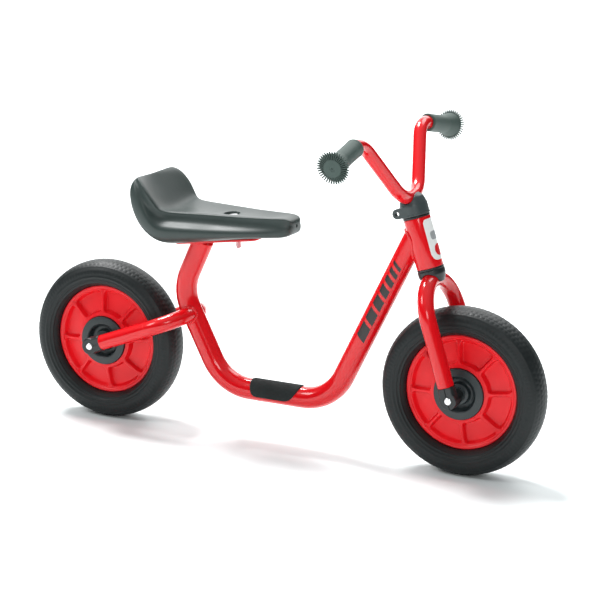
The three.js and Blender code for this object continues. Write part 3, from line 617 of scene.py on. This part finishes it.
def makeSeat():
    half = saddle["section"]
    around = [(row, 1) for row in half] + [(row, -1) for row in reversed(half[1:-1])]
    rings = []
    for crest, low, crestHalf, wide, dish, shoulder in saddle["rows"]:
        low, top = Vector((low[0], 0, low[1])), Vector((crest[0], 0, crest[1]))
        ring = []
        for (above, share, dishShare, crestShare, flare), side in around:
            up = shoulder + (1 - shoulder) * share if above else shoulder * share
            p = low.lerp(top, up) - (top - low).normalized() * dish * dishShare
            p.y = side * (crestHalf * crestShare + (wide - crestHalf) * flare)
            ring.append(p)
        rings.append(ring)
    verts, faces = stacked(rings, False)
    n = len(around)
    for first in (0, len(verts) - n):
        centre = sum((verts[first + k] for k in range(n)), Vector()) / n
        verts.append(centre)
        for k in range(n):
            ring = [first + k, first + (k + 1) % n, len(verts) - 1]
            faces.append(ring if first else list(reversed(ring)))
    rough = makeObject("rough", (verts, faces), unplaced)
    step = rough.modifiers.new("round", "SUBSURF")
    step.levels = step.render_levels = saddle["levels"]
    body = settled(rough)

    foot = plateOrigin + plateAlong * saddle["boltFromRear"]
    stand = Matrix.Translation(foot) @ Matrix.Rotation(-plate["tilt"], 4, "Y")
    above = [v for v in body[0] if v.z > saddle["topAbove"]]
    top = min(above, key=lambda v: (v - foot).cross(plateUp).length)
    rise = (top - foot).dot(plateUp)
    floor = rise - saddle["recessDepth"]
    recess = [(r, floor + z) for r, z in saddle["recessFloor"]]
    recess += [(r, rise + z) for r, z in saddle["recessRim"]]
    recess = moved(turned(recess, 48), stand)
    vent = turned(rod(saddle["ventRadius"], -saddle["ventReach"], saddle["ventReach"]), 24)
    forward = Matrix.Translation(saddle["ventPlace"]) @ Matrix.Rotation(math.pi / 2, 4, "Y")
    body = moulded(body, cuts=[recess, moved(vent, forward)], voxel=None)
    addPiece("seat", body, "seat", "frame", ["seat"], keenAngle=50)
    makeSeatBolt(floor, onBike @ stand)


def makeSeatBolt(floor, place):
    # Bolt head in the recess, and the washer, nut and bolt end below the plate.
    b = seatBolt
    head = filleted([(r, floor + z, fillet) for r, z, fillet in b["head"]])
    shank = [(0, floor), (b["radius"], floor)] + b["end"]
    bolt = merged(turned(head, 40), turned(shank, 32))
    addPiece("seatBolt", bolt, "steel", "frame", ["seat_bolt"], place)
    washer = turned(filleted(b["washer"], True), 40, True)
    addPiece("seatWasher", washer, "steel", "frame", ["seat_washer"], place)

    # The nut is a hexagon trimmed by a double cone, so that its corners are rounded off.
    hexagon = [(b["nutCorner"] * c, b["nutCorner"] * s) for c, s in circle(6)]
    core = makeObject("core", slab(hexagon, b["nutBottom"], b["nutTop"]), unplaced)
    bore = turned(rod(b["nutBore"], *b["boreReach"]), 32)
    trim = combine(core, turned(b["nutCone"], 48), "INTERSECT")
    nut = settled(core, trim, combine(core, bore, "DIFFERENCE"))
    addPiece("seatNut", nut, "steel", "frame", ["seat_nut"], place, keenAngle=25)


makeSeat()
print("seat made")

pad = {
    "start": -40.5, "length": 75, "wrap": math.radians(112), "rearDraw": 12, "frontDraw": 22,
    "drawPower": 2.2, "cornerFrom": 0.82, "rearCornerShare": 0.45, "frontCornerShare": 0.3,
    "inner": 15.15, "thickness": 1.25, "edgeShare": 0.55, "edgeDip": 0.25, "rows": 66, "columns": 90,
    "grit": 0.096,
}


def makeFootPad():
    # A sheet of grit bent over the tube. Its lower edges are shorter, with round corners.
    def ends(share):  # share 0 on top of the tube, 1 at the sheet's lower edge
        drawn = share ** pad["drawPower"]
        past = max(0, (share - pad["cornerFrom"]) / (1 - pad["cornerFrom"]))
        corner = 1 - math.sqrt(max(0, 1 - past**2))
        rear = pad["rearDraw"] * (drawn + pad["rearCornerShare"] * (corner - drawn))
        front = pad["frontDraw"] * (drawn + pad["frontCornerShare"] * (corner - drawn))
        return pad["start"] + rear, pad["start"] + pad["length"] - front

    verts, faces = [], []
    rows, columns = pad["rows"], pad["columns"]
    for layer in (1, 0):
        for i in range(rows + 1):
            lean = pad["wrap"] * (2 * i / rows - 1)
            rear, front = ends(abs(lean) / pad["wrap"])
            for j in range(columns + 1):
                x = rear + (front - rear) * j / columns
                border = min(i, rows - i, j, columns - j)
                r = pad["inner"]
                if layer:
                    r += pad["thickness"] * (pad["edgeShare"] if border == 0 else 1)
                    r += random.uniform(-pad["grit"], pad["grit"]) if border > 1 else -pad["edgeDip"] * border
                verts.append(Vector((x, r * math.sin(lean), tubes["rearCorner"][2] + r * math.cos(lean))))
    w, size = columns + 1, (rows + 1) * (columns + 1)
    for i in range(rows):
        for j in range(columns):
            a = i * w + j
            faces.append([a, a + 1, a + w + 1, a + w])
            faces.append([size + a, size + a + w, size + a + w + 1, size + a + 1])
    edge = [j for j in range(columns)] + [columns + i * w for i in range(rows)]
    edge += [rows * w + columns - j for j in range(columns)] + [(rows - i) * w for i in range(rows)]
    for a, b in zip(edge, edge[1:] + edge[:1]):
        faces.append([b, a, size + a, size + b])
    addPiece("footPad", (verts, faces), "grit", "frame", ["foot_pad"], keenAngle=60)


makeFootPad()
print("foot pad made")

bar = {
    "bottom": 233.6, "bottomBend": 52, "armAngle": math.radians(39.8), "kneeOut": 97.5, "kneeBend": 35,
    "droop": math.radians(10.6), "gripStart": 21.2, "gripEnd": 100.2, "lean": math.radians(1.3),
    "shortOfGripEnd": 6,
}
barFoot = Matrix.Translation((0, 0, bar["bottom"]))
leaning = barFoot @ Matrix.Rotation(-bar["lean"], 4, "Y") @ barFoot.inverted()
grip = {
    "teeth": 38, "perTooth": 8, "finEdge": 0.45, "finSlope": 3.4, "finPoint": 0.3,
    # (radius, distance from the inner end, fillet)
    "barrel": [(9.3, 0, 0), (11.2, 0, 0.7), (12.3, 1.5, 1), (12.3, 5, 0.8), (12, 5.9, 1)],
    # (radius, distance in from the outer end): the flare with its fillets, then along a tooth's tip and
    # along the notch beside it, then the flat face and the blind bore
    "flare": [(12, 26, 14), (16.5, 5.6, 0)],
    "tip": [(17, 5.6), (21.1, 3.7), (21.5, 3.1), (20.8, 2.6), (12, 0.6), (11.3, 0.3)],
    "notch": [(16.5, 5.6), (16.5, 4.6), (16.2, 4.2), (15.2, 3.8), (11.4, 2.4), (11.3, 0.3)],
    "face": [
        (10.8, 0.2), (10.2, 0), (3.5, 0.05), (3.2, 0.3), (1.3, 0.35), (0.9, 1.3), (0.02, 1.3), (0.02, 5),
        (9.3, 5),
    ],
}


def makeSteeringTubes():
    t, b = tubes, bar
    half, low, high = t["forkSpread"], t["legEnd"], t["crownHeight"]
    corners = [(0, -half, low), (0, -half, high), (0, half, high), (0, half, low)]
    forkPath = bentPath(corners, [t["crownBend"]] * 2, 0.07)
    addPiece("fork", tube(forkPath, t["forkRadius"], 48), "paint", "steering", ["fork"], onSteering)
    knee = Vector((0, b["kneeOut"], b["bottom"] + b["kneeOut"] / math.tan(b["armAngle"])))
    gripAlong = Vector((0, math.cos(b["droop"]), -math.sin(b["droop"])))
    end = knee + gripAlong * (b["gripEnd"] - b["shortOfGripEnd"])
    other = Vector((1, -1, 1))
    corners = [leaning @ v for v in (end * other, knee * other, Vector((0, 0, b["bottom"])), knee, end)]
    barPath = bentPath(corners, [b["kneeBend"], b["bottomBend"], b["kneeBend"]], 0.07)
    addPiece("handlebar", tube(barPath, t["barRadius"], 44), "paint", "steering", ["handlebar"], onSteering)
    return forkPath, barPath, knee


forkPath, barPath, barKnee = makeSteeringTubes()


def makeGrip(name, side):
    g, start, end = grip, bar["gripStart"], bar["gripEnd"]
    barrel = [(r, start + z, fillet) for r, z, fillet in g["barrel"]]
    barrel = filleted(barrel + [(r, end - z, fillet) for r, z, fillet in g["flare"]])
    face = [(r, end - z) for r, z in g["face"]]
    columns = []
    for k, (c, s) in enumerate(circle(g["teeth"] * g["perTooth"])):
        phase = abs((k / g["perTooth"]) % 1 * 2 - 1)  # 1 at a notch, 0 at a tooth's tip
        share = min(1, max(g["finPoint"] * phase, (phase - g["finEdge"]) * g["finSlope"]))
        crown = []
        for (tipRadius, tipIn), (notchRadius, notchIn) in zip(g["tip"], g["notch"]):
            inward = tipIn + (notchIn - tipIn) * share
            crown.append((tipRadius + (notchRadius - tipRadius) * share, end - inward))
        columns.append([Vector((r * c, r * s, z)) for r, z in barrel + crown + face])
    turn = Matrix.Rotation(-side * (math.pi / 2 + bar["droop"]), 4, "X")
    place = onSteering @ leaning @ Matrix.Translation(barKnee * Vector((1, side, 1))) @ turn
    addPiece(f"grip_{name}", loopGrid(columns), "grip", "steering", [f"grip_{name}"], place, keenAngle=30)


for name, side in sides.items():
    makeGrip(name, side)
print("fork, handlebar and grips made")

collar = {
    "dome": [
        (0, 238.3, 0), (19.2, 238.3, 0.6), (19.2, 240.2, 0.5), (18.6, 240.9, 0.5), (18.7, 252, 6),
        (15.8, 262.3, 6), (10.5, 267.5, 5), (0, 268.3, 0),
    ],
    "lugReach": 24.4, "lugHalf": 6.75, "lugMiddle": 246.25, "lugThickness": 8, "lugFace": 18.5,
    "lugHole": 2.9, "lugHoleBack": 17.7, "barClearance": 0.35, "slotHalf": 9.4, "slotAboveBar": 29,
    "slotTop": 320, "cutLength": 60,
}
cup = {
    "belowHead": 3, "barClearance": 0.35,
    "bowl": [(0, 0, 0), (18.3, 0, 0.6), (18.3, -6.5, 4), (16.2, -13, 4), (14.2, -17.4, 1), (0, -17.4, 0)],
}
bush = {
    "bore": 12.9, "sleeve": 14.6, "flange": 18.05, "edge": 0.7, "innerEdge": 0.3, "near": 0.3, "far": 2.7,
    "reach": 16,
}


def makeCollar():
    c = collar
    dome = turned(filleted(c["dome"], steps=6), 72)
    end, reach, corner = c["lugHalf"], c["lugReach"], c["lugHalf"] - 0.1
    tongue = [(0, -end, 0), (0, end, 0), (-reach, end, corner), (-reach, -end, corner)]
    tongue = slab(filleted(tongue, True, 10), 0, c["lugThickness"])
    lift = Matrix.Translation((0, c["lugThickness"] - c["lugFace"], c["lugMiddle"]))
    lug = moved(tongue, lift @ Matrix.Rotation(math.pi / 2, 4, "X"))
    length = c["cutLength"]
    hole = turnedAcross(rod(c["lugHole"], 0, length), -1, 32)
    hole = moved(hole, Matrix.Translation((-c["lugHoleBack"], 0, c["lugMiddle"])))
    seatOfBar = tube(barPath, tubes["barRadius"] + c["barClearance"], 48)
    half = c["slotHalf"]
    slot = boxShape((-half, -length, bar["bottom"] + c["slotAboveBar"]), (half, length, c["slotTop"]))
    shape = moulded(dome, adds=[lug], cuts=[seatOfBar, slot, hole], voxel=0.5, smooth=3)
    addPiece("collar", shape, "grey", "steering", ["collar"], onSteering, keenAngle=60)


def makeLowerCup():
    top = tubes["headBottom"] - cup["belowHead"]
    bowl = turned(filleted([(r, top + z, fillet) for r, z, fillet in cup["bowl"]], steps=6), 72)
    crown = tube(forkPath, tubes["forkRadius"] + cup["barClearance"], 48)
    shape = moulded(bowl, cuts=[crown], voxel=0.5, smooth=3)
    addPiece("lowerCup", shape, "black", "steering", ["lower_cup"], onSteering, keenAngle=60)


def makeBushes():
    b = bush
    for name, face, inward in (("upper", tubes["headTop"], -1), ("lower", tubes["headBottom"], 1)):
        near, far, tip = face - inward * b["near"], face - inward * b["far"], face + inward * b["reach"]
        loop = [(b["bore"], far, 0), (b["flange"], far, b["edge"]), (b["flange"], near, b["innerEdge"])]
        loop += [(b["sleeve"], near, 0), (b["sleeve"], tip, 0), (b["bore"], tip, 0)]
        shape = turned(filleted(loop, True), 64, True)
        addPiece(f"{name}Bush", shape, "black", "frame", [f"{name}_bush"], onSteering)


makeCollar()
makeLowerCup()
makeBushes()
print("collar, cup and bushes made")

knuckle = {
    "radius": 11.7, "face": 58.5, "tubeEnd": 17.7, "tubeEdge": 0.6,
    "boss": [
        (0, 24.9, 0), (9.6, 24.9, 0.8), (9.9, 29, 3), (11, 36, 6), (11.7, 43, 5), (11.7, 58.5, 1.6),
        (0, 58.5, 0),
    ],
    "axleHole": 4.3, "axleHoleEnds": (10, 80), "boreRadius": 5.2, "boreDepth": 6, "beyond": (40, 90, 60),
    "seamHalf": 0.5, "seamDepth": 1.6, "seamEnds": (-30, 17.1), "seamReach": 70,
    "nutRadius": 4.9, "nutProud": 0.6, "nutDepth": 5.6, "nutFlat": 3.4, "nutDome": 0.9,
}


def makeKnuckle(end, name, side, legY, place, body):
    # A moulded cap over the tube's end, with a round boss that reaches in to the hub.
    k = knuckle
    r, face = k["radius"], k["face"]
    sleeve = [(0, k["tubeEnd"], 0), (r - 0.3, k["tubeEnd"], k["tubeEdge"]), (r, 6, 6), (r, 0, 0), (0, 0, 0)]
    sleeve = turned(filleted(sleeve, steps=4), 48)
    sleeve = moved(sleeve, Matrix.Translation((0, side * legY, 0)))
    boss = turnedAcross(filleted(k["boss"], steps=5), side, 56)

    def onSide(shape):
        return shape if side > 0 else mirroredY(shape)

    x, y, z = k["beyond"]
    outside = onSide(boxShape((-x, face, -z), (x, y, z)))
    floor, half, (low, high) = face - k["boreDepth"], k["seamHalf"], k["seamEnds"]
    bore = turnedAcross(rod(k["boreRadius"], floor, y), side, 40)
    through = turnedAcross(rod(k["axleHole"], *k["axleHoleEnds"]), side, 32)
    seam = onSide(boxShape((-half, face - k["seamDepth"], low), (half, k["seamReach"], high)))
    shape = moulded(boss, [sleeve], [outside, through], voxel=0.55, smooth=5, keenCuts=[bore, seam])
    addPiece(f"{end}Knuckle_{name}", shape, "black", body, [f"{end}_knuckle_{name}"], place, keenAngle=50)

    top, foot, r = face + k["nutProud"], face - k["nutDepth"], k["nutRadius"]
    cap = [(0, top, 0), (k["nutFlat"], top, 0.6), (r, top - k["nutDome"], 0.8), (r, foot, 0), (0, foot, 0)]
    nut = turnedAcross(filleted(cap), side, 40)
    addPiece(f"{end}AxleNut_{name}", nut, "steel", body, [f"{end}_axle_nut_{name}"], place)


stayTilt = math.atan2(stayAlong.z, stayAlong.x)
onRearLegs = placeAt(rearAxle, math.pi / 2 - stayTilt)
for name, side in sides.items():
    makeKnuckle("front", name, side, tubes["forkSpread"], onSteering, "steering")
    makeKnuckle("rear", name, side, tubes["staySpread"], onRearLegs, "frame")
print("knuckles made")

tyre = {
    "outer": 113, "middle": 94, "halfWidth": 24.1, "squareness": 2.25, "bead": 77.3, "bed": 73.3, "key": 7.7,
    "reach": math.radians(149), "sectionSteps": 110, "blocks": 98, "perBlock": 6,
    # Angles round the section count from the middle of the tread.
    "tread": math.radians(46), "treadFade": 0.06, "depth": 0.38, "blockSlant": 0.55, "middleShare": 0.8,
    "grooves": (math.radians(14), math.radians(31)), "grooveHalf": math.radians(2.2), "gapEdge": (0.3, 0.4),
    "shoulder": math.radians(53), "shoulderHalf": math.radians(3), "shoulderRise": 0.55,
    "ridges": (math.radians(92), math.radians(134)), "ridgeCount": 3, "ridge": 0.9,
    "ticks": (math.radians(66), math.radians(86)), "tick": 0.22, "tickFade": 0.03, "tickPeriod": 5,
}
rim = {
    "boss": [(11.3, 9), (33.6, 9), (34.6, 18), (35.2, 18.5)],
    "lip": [(72.9, 10.65), (73.6, 10.9), (75.9, 10.9), (76.7, 10.6), (77, 10), (77, 8), (73, 8)],
    "ribs": 8, "perRib": 44, "crowding": 0.62, "ribHalf": 1.35, "ribPhase": math.radians(-5),
    "panelInner": 39.5, "panelOuter": 71.2, "outerSlope": 1.9, "cornerRadius": 5, "wall": 2.3,
    "ribOuter": 9.9, "ribInner": 17, "floorOuter": 3, "floorInner": 8.2,
    "radii": [
        38.2, 39, 39.7, 40.4, 41.1, 41.9, 43, 45, 48.5, 53, 58, 62, 64.5, 66, 67, 68, 69, 69.8, 70.6,
        71.3, 72,
    ],
}
hubCap = [
    (34.4, 18.8, 0), (34.4, 21.4, 0.9), (24.6, 22.2, 0.8), (23, 20.6, 3), (20.6, 12.4, 3), (16, 11.4, 2),
    (14.2, 12.6, 1), (13.6, 19.6, 0.9), (9.6, 20.4, 0.8), (9.4, 22.8, 0.5), (7.8, 22.8, 0.4), (7.8, 10.2, 0),
    (33, 10.2, 0), (33, 18.8, 0),
]
spacer = [(4.4, 19, 0), (6.4, 19, 0), (6.4, 24.4, 0.4), (4.4, 24.4, 0.4)]


def smoothStep(value, low, high):
    t = min(1, max(0, (value - low) / (high - low)))
    return t * t * (3 - 2 * t)


def tyreShape():
    t = tyre
    columns = []
    count = t["blocks"] * t["perBlock"]
    power = 2 / t["squareness"]
    for i in range(count):
        around = tau * i / count
        column = []
        for k in range(t["sectionSteps"] + 1):
            a = t["reach"] * (2 * k / t["sectionSteps"] - 1)
            c, s = math.cos(a), math.sin(a)
            radial = (t["outer"] - t["middle"]) * math.copysign(abs(c) ** power, c)
            wide = t["halfWidth"] * math.copysign(abs(s) ** power, s)
            lean = abs(a)
            low = 0.0
            if lean < t["tread"]:
                row = 0 if lean < t["grooves"][0] else 1 if lean < t["grooves"][1] else 2
                slant = a * t["blockSlant"]
                phase = (i / t["perBlock"] + 0.5 * (row == 1) + slant) % 1
                cross = smoothStep(abs(phase - 0.5), *t["gapEdge"]) * (t["middleShare"] if row == 0 else 1)
                away = min(abs(lean - groove) for groove in t["grooves"])
                lengthwise = 1 - smoothStep(away, t["grooveHalf"] / 2, t["grooveHalf"])
                fade = 1 - smoothStep(lean, t["tread"] - t["treadFade"], t["tread"])
                low = max(cross, lengthwise) * fade
            lift = -low * t["depth"]
            lift += t["shoulderRise"] * (1 - smoothStep(abs(lean - t["shoulder"]), 0, t["shoulderHalf"]))
            start, stop = t["ridges"]
            if start < lean < stop:
                share = (lean - start) / (stop - start)
                lift += t["ridge"] * max(0, math.sin(math.pi * share * t["ridgeCount"] * 2)) ** 0.5
            start, stop = t["ticks"]
            if start < lean < stop:
                edge = smoothStep(min(lean - start, stop - lean), 0, t["tickFade"])
                lift += t["tick"] * edge * (0.5 + 0.5 * math.sin(tau * i / t["tickPeriod"]))
            length = math.hypot(radial, wide)
            radial, wide = radial * (1 + lift / length), wide * (1 + lift / length)
            column.append((t["middle"] + radial, wide))
        bead, bed, key = t["bead"], t["bed"], t["key"]
        column += [(bead, key), (bed, key), (bed, -key), (bead, -key)]
        columns.append([Vector((r * math.sin(around), y, r * math.cos(around))) for r, y in column])
    return loopGrid(columns)


def rimShape():
    m = rim

    def height(r, offset):  # offset is the angle from the middle of the panel
        share = (m["panelOuter"] - r) / (m["panelOuter"] - m["panelInner"])
        ribTop = m["ribOuter"] + (m["ribInner"] - m["ribOuter"]) * share
        floor = m["floorOuter"] + (m["floorInner"] - m["floorOuter"]) * share
        inX = math.pi / m["ribs"] * r - m["ribHalf"] - abs(offset) * r
        inY = min((m["panelOuter"] - r) / m["outerSlope"], r - m["panelInner"])
        corner = m["cornerRadius"]
        inside = corner - math.hypot(max(corner - inX, 0), max(corner - inY, 0))
        return ribTop + (floor - ribTop) * smoothStep(inside, 0, m["wall"])

    columns = []
    for sector in range(m["ribs"]):
        for k in range(m["perRib"]):
            t = 2 * k / m["perRib"] - 1
            offset = math.pi / m["ribs"] * math.copysign(abs(t) ** m["crowding"], t)
            around = tau * (sector + 0.5) / m["ribs"] + m["ribPhase"] + offset
            face = m["boss"] + [(r, height(r, offset)) for r in m["radii"]] + m["lip"]
            chain = face + [(r, -y) for r, y in reversed(face)]
            columns.append([Vector((r * math.sin(around), y, r * math.cos(around))) for r, y in chain])
    return loopGrid(columns)


def makeWheels():
    tyreMesh, rimMesh = tyreShape(), rimShape()
    cap, ring = filleted(hubCap, True, 5), filleted(spacer, True)
    for end, place, holder in (("front", onFrontWheel, "steering"), ("rear", onRearWheel, "frame")):
        body = f"{end}_wheel"
        addPiece(f"{end}Tyre", tyreMesh, "tyre", body, [f"{end}_tyre"], place, keenAngle=50)
        addPiece(f"{end}Rim", rimMesh, "rim", body, [f"{end}_rim"], place, keenAngle=50)
        for name, side in sides.items():
            shape = turnedAcross(cap, side, 80, True)
            addPiece(f"{end}HubCap_{name}", shape, "cap", body, [f"{end}_hub_cap_{name}"], place)
            shape = turnedAcross(ring, side, 40, True)
            addPiece(f"{end}Spacer_{name}", shape, "steel", holder, [f"{end}_spacer_{name}"], place)


makeWheels()
print("wheels made")


def tubePatch(origin, along, facing, radius, outline, lift):
    # A sticker on a round tube. Its outline is (length along, distance round), seen from facing.
    along = along.normalized()
    facing = (facing - along * facing.dot(along)).normalized()
    across = along.cross(facing)
    low, high = min(p[1] for p in outline), max(p[1] for p in outline)
    strips, hair, sunk = 14, 0.002, 0.2
    verts, faces = [], []

    def span(level):
        cuts = []
        for (x0, y0), (x1, y1) in zip(outline, outline[1:] + outline[:1]):
            if (y0 - level) * (y1 - level) <= 0 and y0 != y1:
                cuts.append(x0 + (x1 - x0) * (level - y0) / (y1 - y0))
        return min(cuts), max(cuts)

    for r in (radius + lift, radius - sunk):
        for i in range(strips + 1):
            level = low + (high - low) * (hair + (1 - 2 * hair) * i / strips)
            for reach in span(level):
                a = level / radius
                verts.append(origin + along * reach + (facing * math.cos(a) + across * math.sin(a)) * r)
    size = 2 * (strips + 1)
    for i in range(strips):
        a = 2 * i
        faces += [[a, a + 1, a + 3, a + 2], [size + a, size + a + 2, size + a + 3, size + a + 1]]
        faces += [[a, a + 2, size + a + 2, size + a], [a + 1, size + a + 1, size + a + 3, a + 3]]
    last = 2 * strips
    faces += [[0, size, size + 1, 1], [last, last + 1, size + last + 1, size + last]]
    return verts, faces


sticker = {
    "start": 108, "blocks": (22, 18, 15, 12, 9, 7, 5), "space": 5, "half": 7.2, "slant": 3.2,
    "panel": [(176, -15, 9), (231, -15, 5), (231, 15, 5), (176, 15, 9)],
    "band": [(203, -9, 3), (214, -9, 3), (214, 9, 3), (203, 9, 3)],
    "dotHeight": 189, "dotRadius": 8, "dotSteps": 32, "onTube": 0.12, "onPanel": 0.2,
}


def makeStickers():
    # Slanted blocks along the down tube, and on the head tube a white panel with a grey bar and a red dot.
    s = sticker
    front = Vector(tubes["frontCorner"])
    down = (onSteeringAxis(tubes["downTubeMeets"]) - front).normalized()
    for name, side in sides.items():
        blocks, start = [], s["start"]
        for length in s["blocks"]:
            low, high, slant, stop = -s["half"], s["half"], s["slant"] * side, start + length
            outline = [(start - slant, low), (stop - slant, low), (stop + slant, high), (start + slant, high)]
            facing = Vector((0, side, 0))
            blocks.append(tubePatch(front, down, facing, tubes["mainRadius"], outline, s["onTube"]))
            start = stop + s["space"]
        addPiece(f"stripes_{name}", merged(*blocks), "darkVinyl", "frame")
    foot = onSteeringAxis(0)
    forward = onSteeringAxis(0, 1) - foot
    panel, band, radius = filleted(s["panel"], True, 6), filleted(s["band"], True, 4), s["dotRadius"]
    dot = [(s["dotHeight"] + radius * y, radius * x) for x, y in circle(s["dotSteps"])]
    for name, outline, film, lift in (
        ("headPanel", panel, "whiteVinyl", s["onTube"]),
        ("headPanelBand", band, "greyVinyl", s["onPanel"]),
        ("headPanelDot", dot, "redVinyl", s["onPanel"]),
    ):
        shape = tubePatch(foot, steerAxis, forward, tubes["headRadius"], outline, lift)
        addPiece(name, shape, film, "frame")


makeStickers()
print("stickers made")

# The inner pieces keep their solids' shapes.
innerFinishes = {"steerer": "paint", "stem": "paint", "stem_pin": "steel"}
for end in ("front", "rear"):
    for part in ("axle", "bearing_spacer", "bearing_left", "bearing_right"):
        innerFinishes[f"{end}_{part}"] = "steel"
for node, finish in innerFinishes.items():
    materials = frame["nodes"][node].data.materials
    materials.clear()
    materials.append(finishes[finish])

view = {
    "azimuth": math.radians(25.389), "elevation": math.radians(14.119), "distance": 2.72692,
    "focal": 2026.338, "target": (0.028263, 0, 0.204735), "roll": math.radians(1.141), "size": 600,
    "sensor": 36, "clip": (0.1, 50),
}


def makeCamera():
    a, e = view["azimuth"], view["elevation"]
    back = Vector((math.sin(a) * math.cos(e), -math.cos(a) * math.cos(e), math.sin(e)))
    right = Vector((math.cos(a), math.sin(a), 0))
    up = back.cross(right)
    c, s = math.cos(view["roll"]), math.sin(view["roll"])
    tiltedRight, tiltedUp = right * c + up * s, up * c - right * s
    lens = bpy.data.cameras.new("camera")
    lens.sensor_width = view["sensor"]
    lens.lens = view["focal"] / view["size"] * view["sensor"]
    lens.clip_start, lens.clip_end = view["clip"]
    camera = linked("camera", lens)
    turn = Matrix((tiltedRight, tiltedUp, back)).transposed().to_4x4()
    camera.matrix_world = Matrix.Translation(Vector(view["target"]) + back * view["distance"]) @ turn
    bpy.context.scene.camera = camera


studio = {
    "floorSize": 80, "floor": (0.89, 0.925, 0.925),
    "lights": [  # where, aimed at, size, power
        ((-1.9, -1.6, 2.2), (-0.05, 0, 0.2), 1.1, 28),
        ((1.4, -2.6, 1.5), (0.1, 0, 0.2), 1.0, 19),
        ((0.4, 1.6, 2.4), (0, 0, 0.2), 1.4, 22),
    ],
    "backPanel": {"where": (-1.5, 3.2, 1.55), "aim": (0, 0, 0.3), "wide": 4.4, "high": 3.2, "power": 92},
    "sunFrom": (-0.5, 0.25, 1), "sunPower": 3.75, "sunSize": math.radians(20),
    "overhead": (0.93, 0.98, 1.0), "horizon": (0.05, 0.052, 0.054), "darkUpTo": 0.3, "skyStrength": 0.75,
}


def makeLamp(name, kind, where, aim, settings):
    lamp = bpy.data.lights.new(name, kind)
    for key, value in settings.items():
        setattr(lamp, key, value)
    thing = linked(name, lamp)
    thing.location = where
    thing.rotation_mode = "QUATERNION"
    thing.rotation_quaternion = (Vector(aim) - Vector(where)).to_track_quat("-Z", "Y")


def makeStudio():
    s = studio
    f = Finish("floorPaper", Roughness=0.8, Specular_IOR_Level=0.15)
    tone = s["floor"]
    f.feed(Base_Color=f.blend(f.noise(3, 2), tone, tuple(c * 0.99 for c in tone)))
    half = s["floorSize"] / 2
    corners = [(-half, -half, 0), (half, -half, 0), (half, half, 0), (-half, half, 0)]
    floor = makeObject("floor", (corners, [[0, 1, 2, 3]]), unplaced)
    floor.data.materials.append(f.material)
    for i, (where, aim, size, power) in enumerate(s["lights"]):
        makeLamp(f"softLight{i + 1}", "AREA", where, aim, {"shape": "DISK", "size": size, "energy": power})
    panel = s["backPanel"]
    wide, high, power = panel["wide"], panel["high"], panel["power"]
    settings = {"shape": "RECTANGLE", "size": wide, "size_y": high, "energy": power}
    makeLamp("backPanel", "AREA", panel["where"], panel["aim"], settings)
    sun = {"energy": s["sunPower"], "angle": s["sunSize"]}
    makeLamp("keyLight", "SUN", s["sunFrom"], (0, 0, 0), sun)

    # The sky is bright overhead and darker low down, so that gloss keeps its colour on upright faces.
    world = bpy.data.worlds.new("sky")
    bpy.context.scene.world = world
    world.use_nodes = True
    nodes, links = world.node_tree.nodes, world.node_tree.links
    kinds = ("ShaderNodeTexCoord", "ShaderNodeSeparateXYZ", "ShaderNodeValToRGB")
    here, split, ramp = (nodes.new(kind) for kind in kinds)
    links.new(here.outputs["Generated"], split.inputs[0])
    links.new(split.outputs["Z"], ramp.inputs[0])
    ramp.color_ramp.elements[0].color = (*s["horizon"], 1)
    ramp.color_ramp.elements[0].position = s["darkUpTo"]
    ramp.color_ramp.elements[1].color = (*s["overhead"], 1)
    sky = nodes["Background"]
    links.new(ramp.outputs[0], sky.inputs["Color"])
    sky.inputs["Strength"].default_value = s["skyStrength"]
    bpy.context.scene.view_settings.view_transform = "Standard"


makeCamera()
makeStudio()
print("camera and studio made")
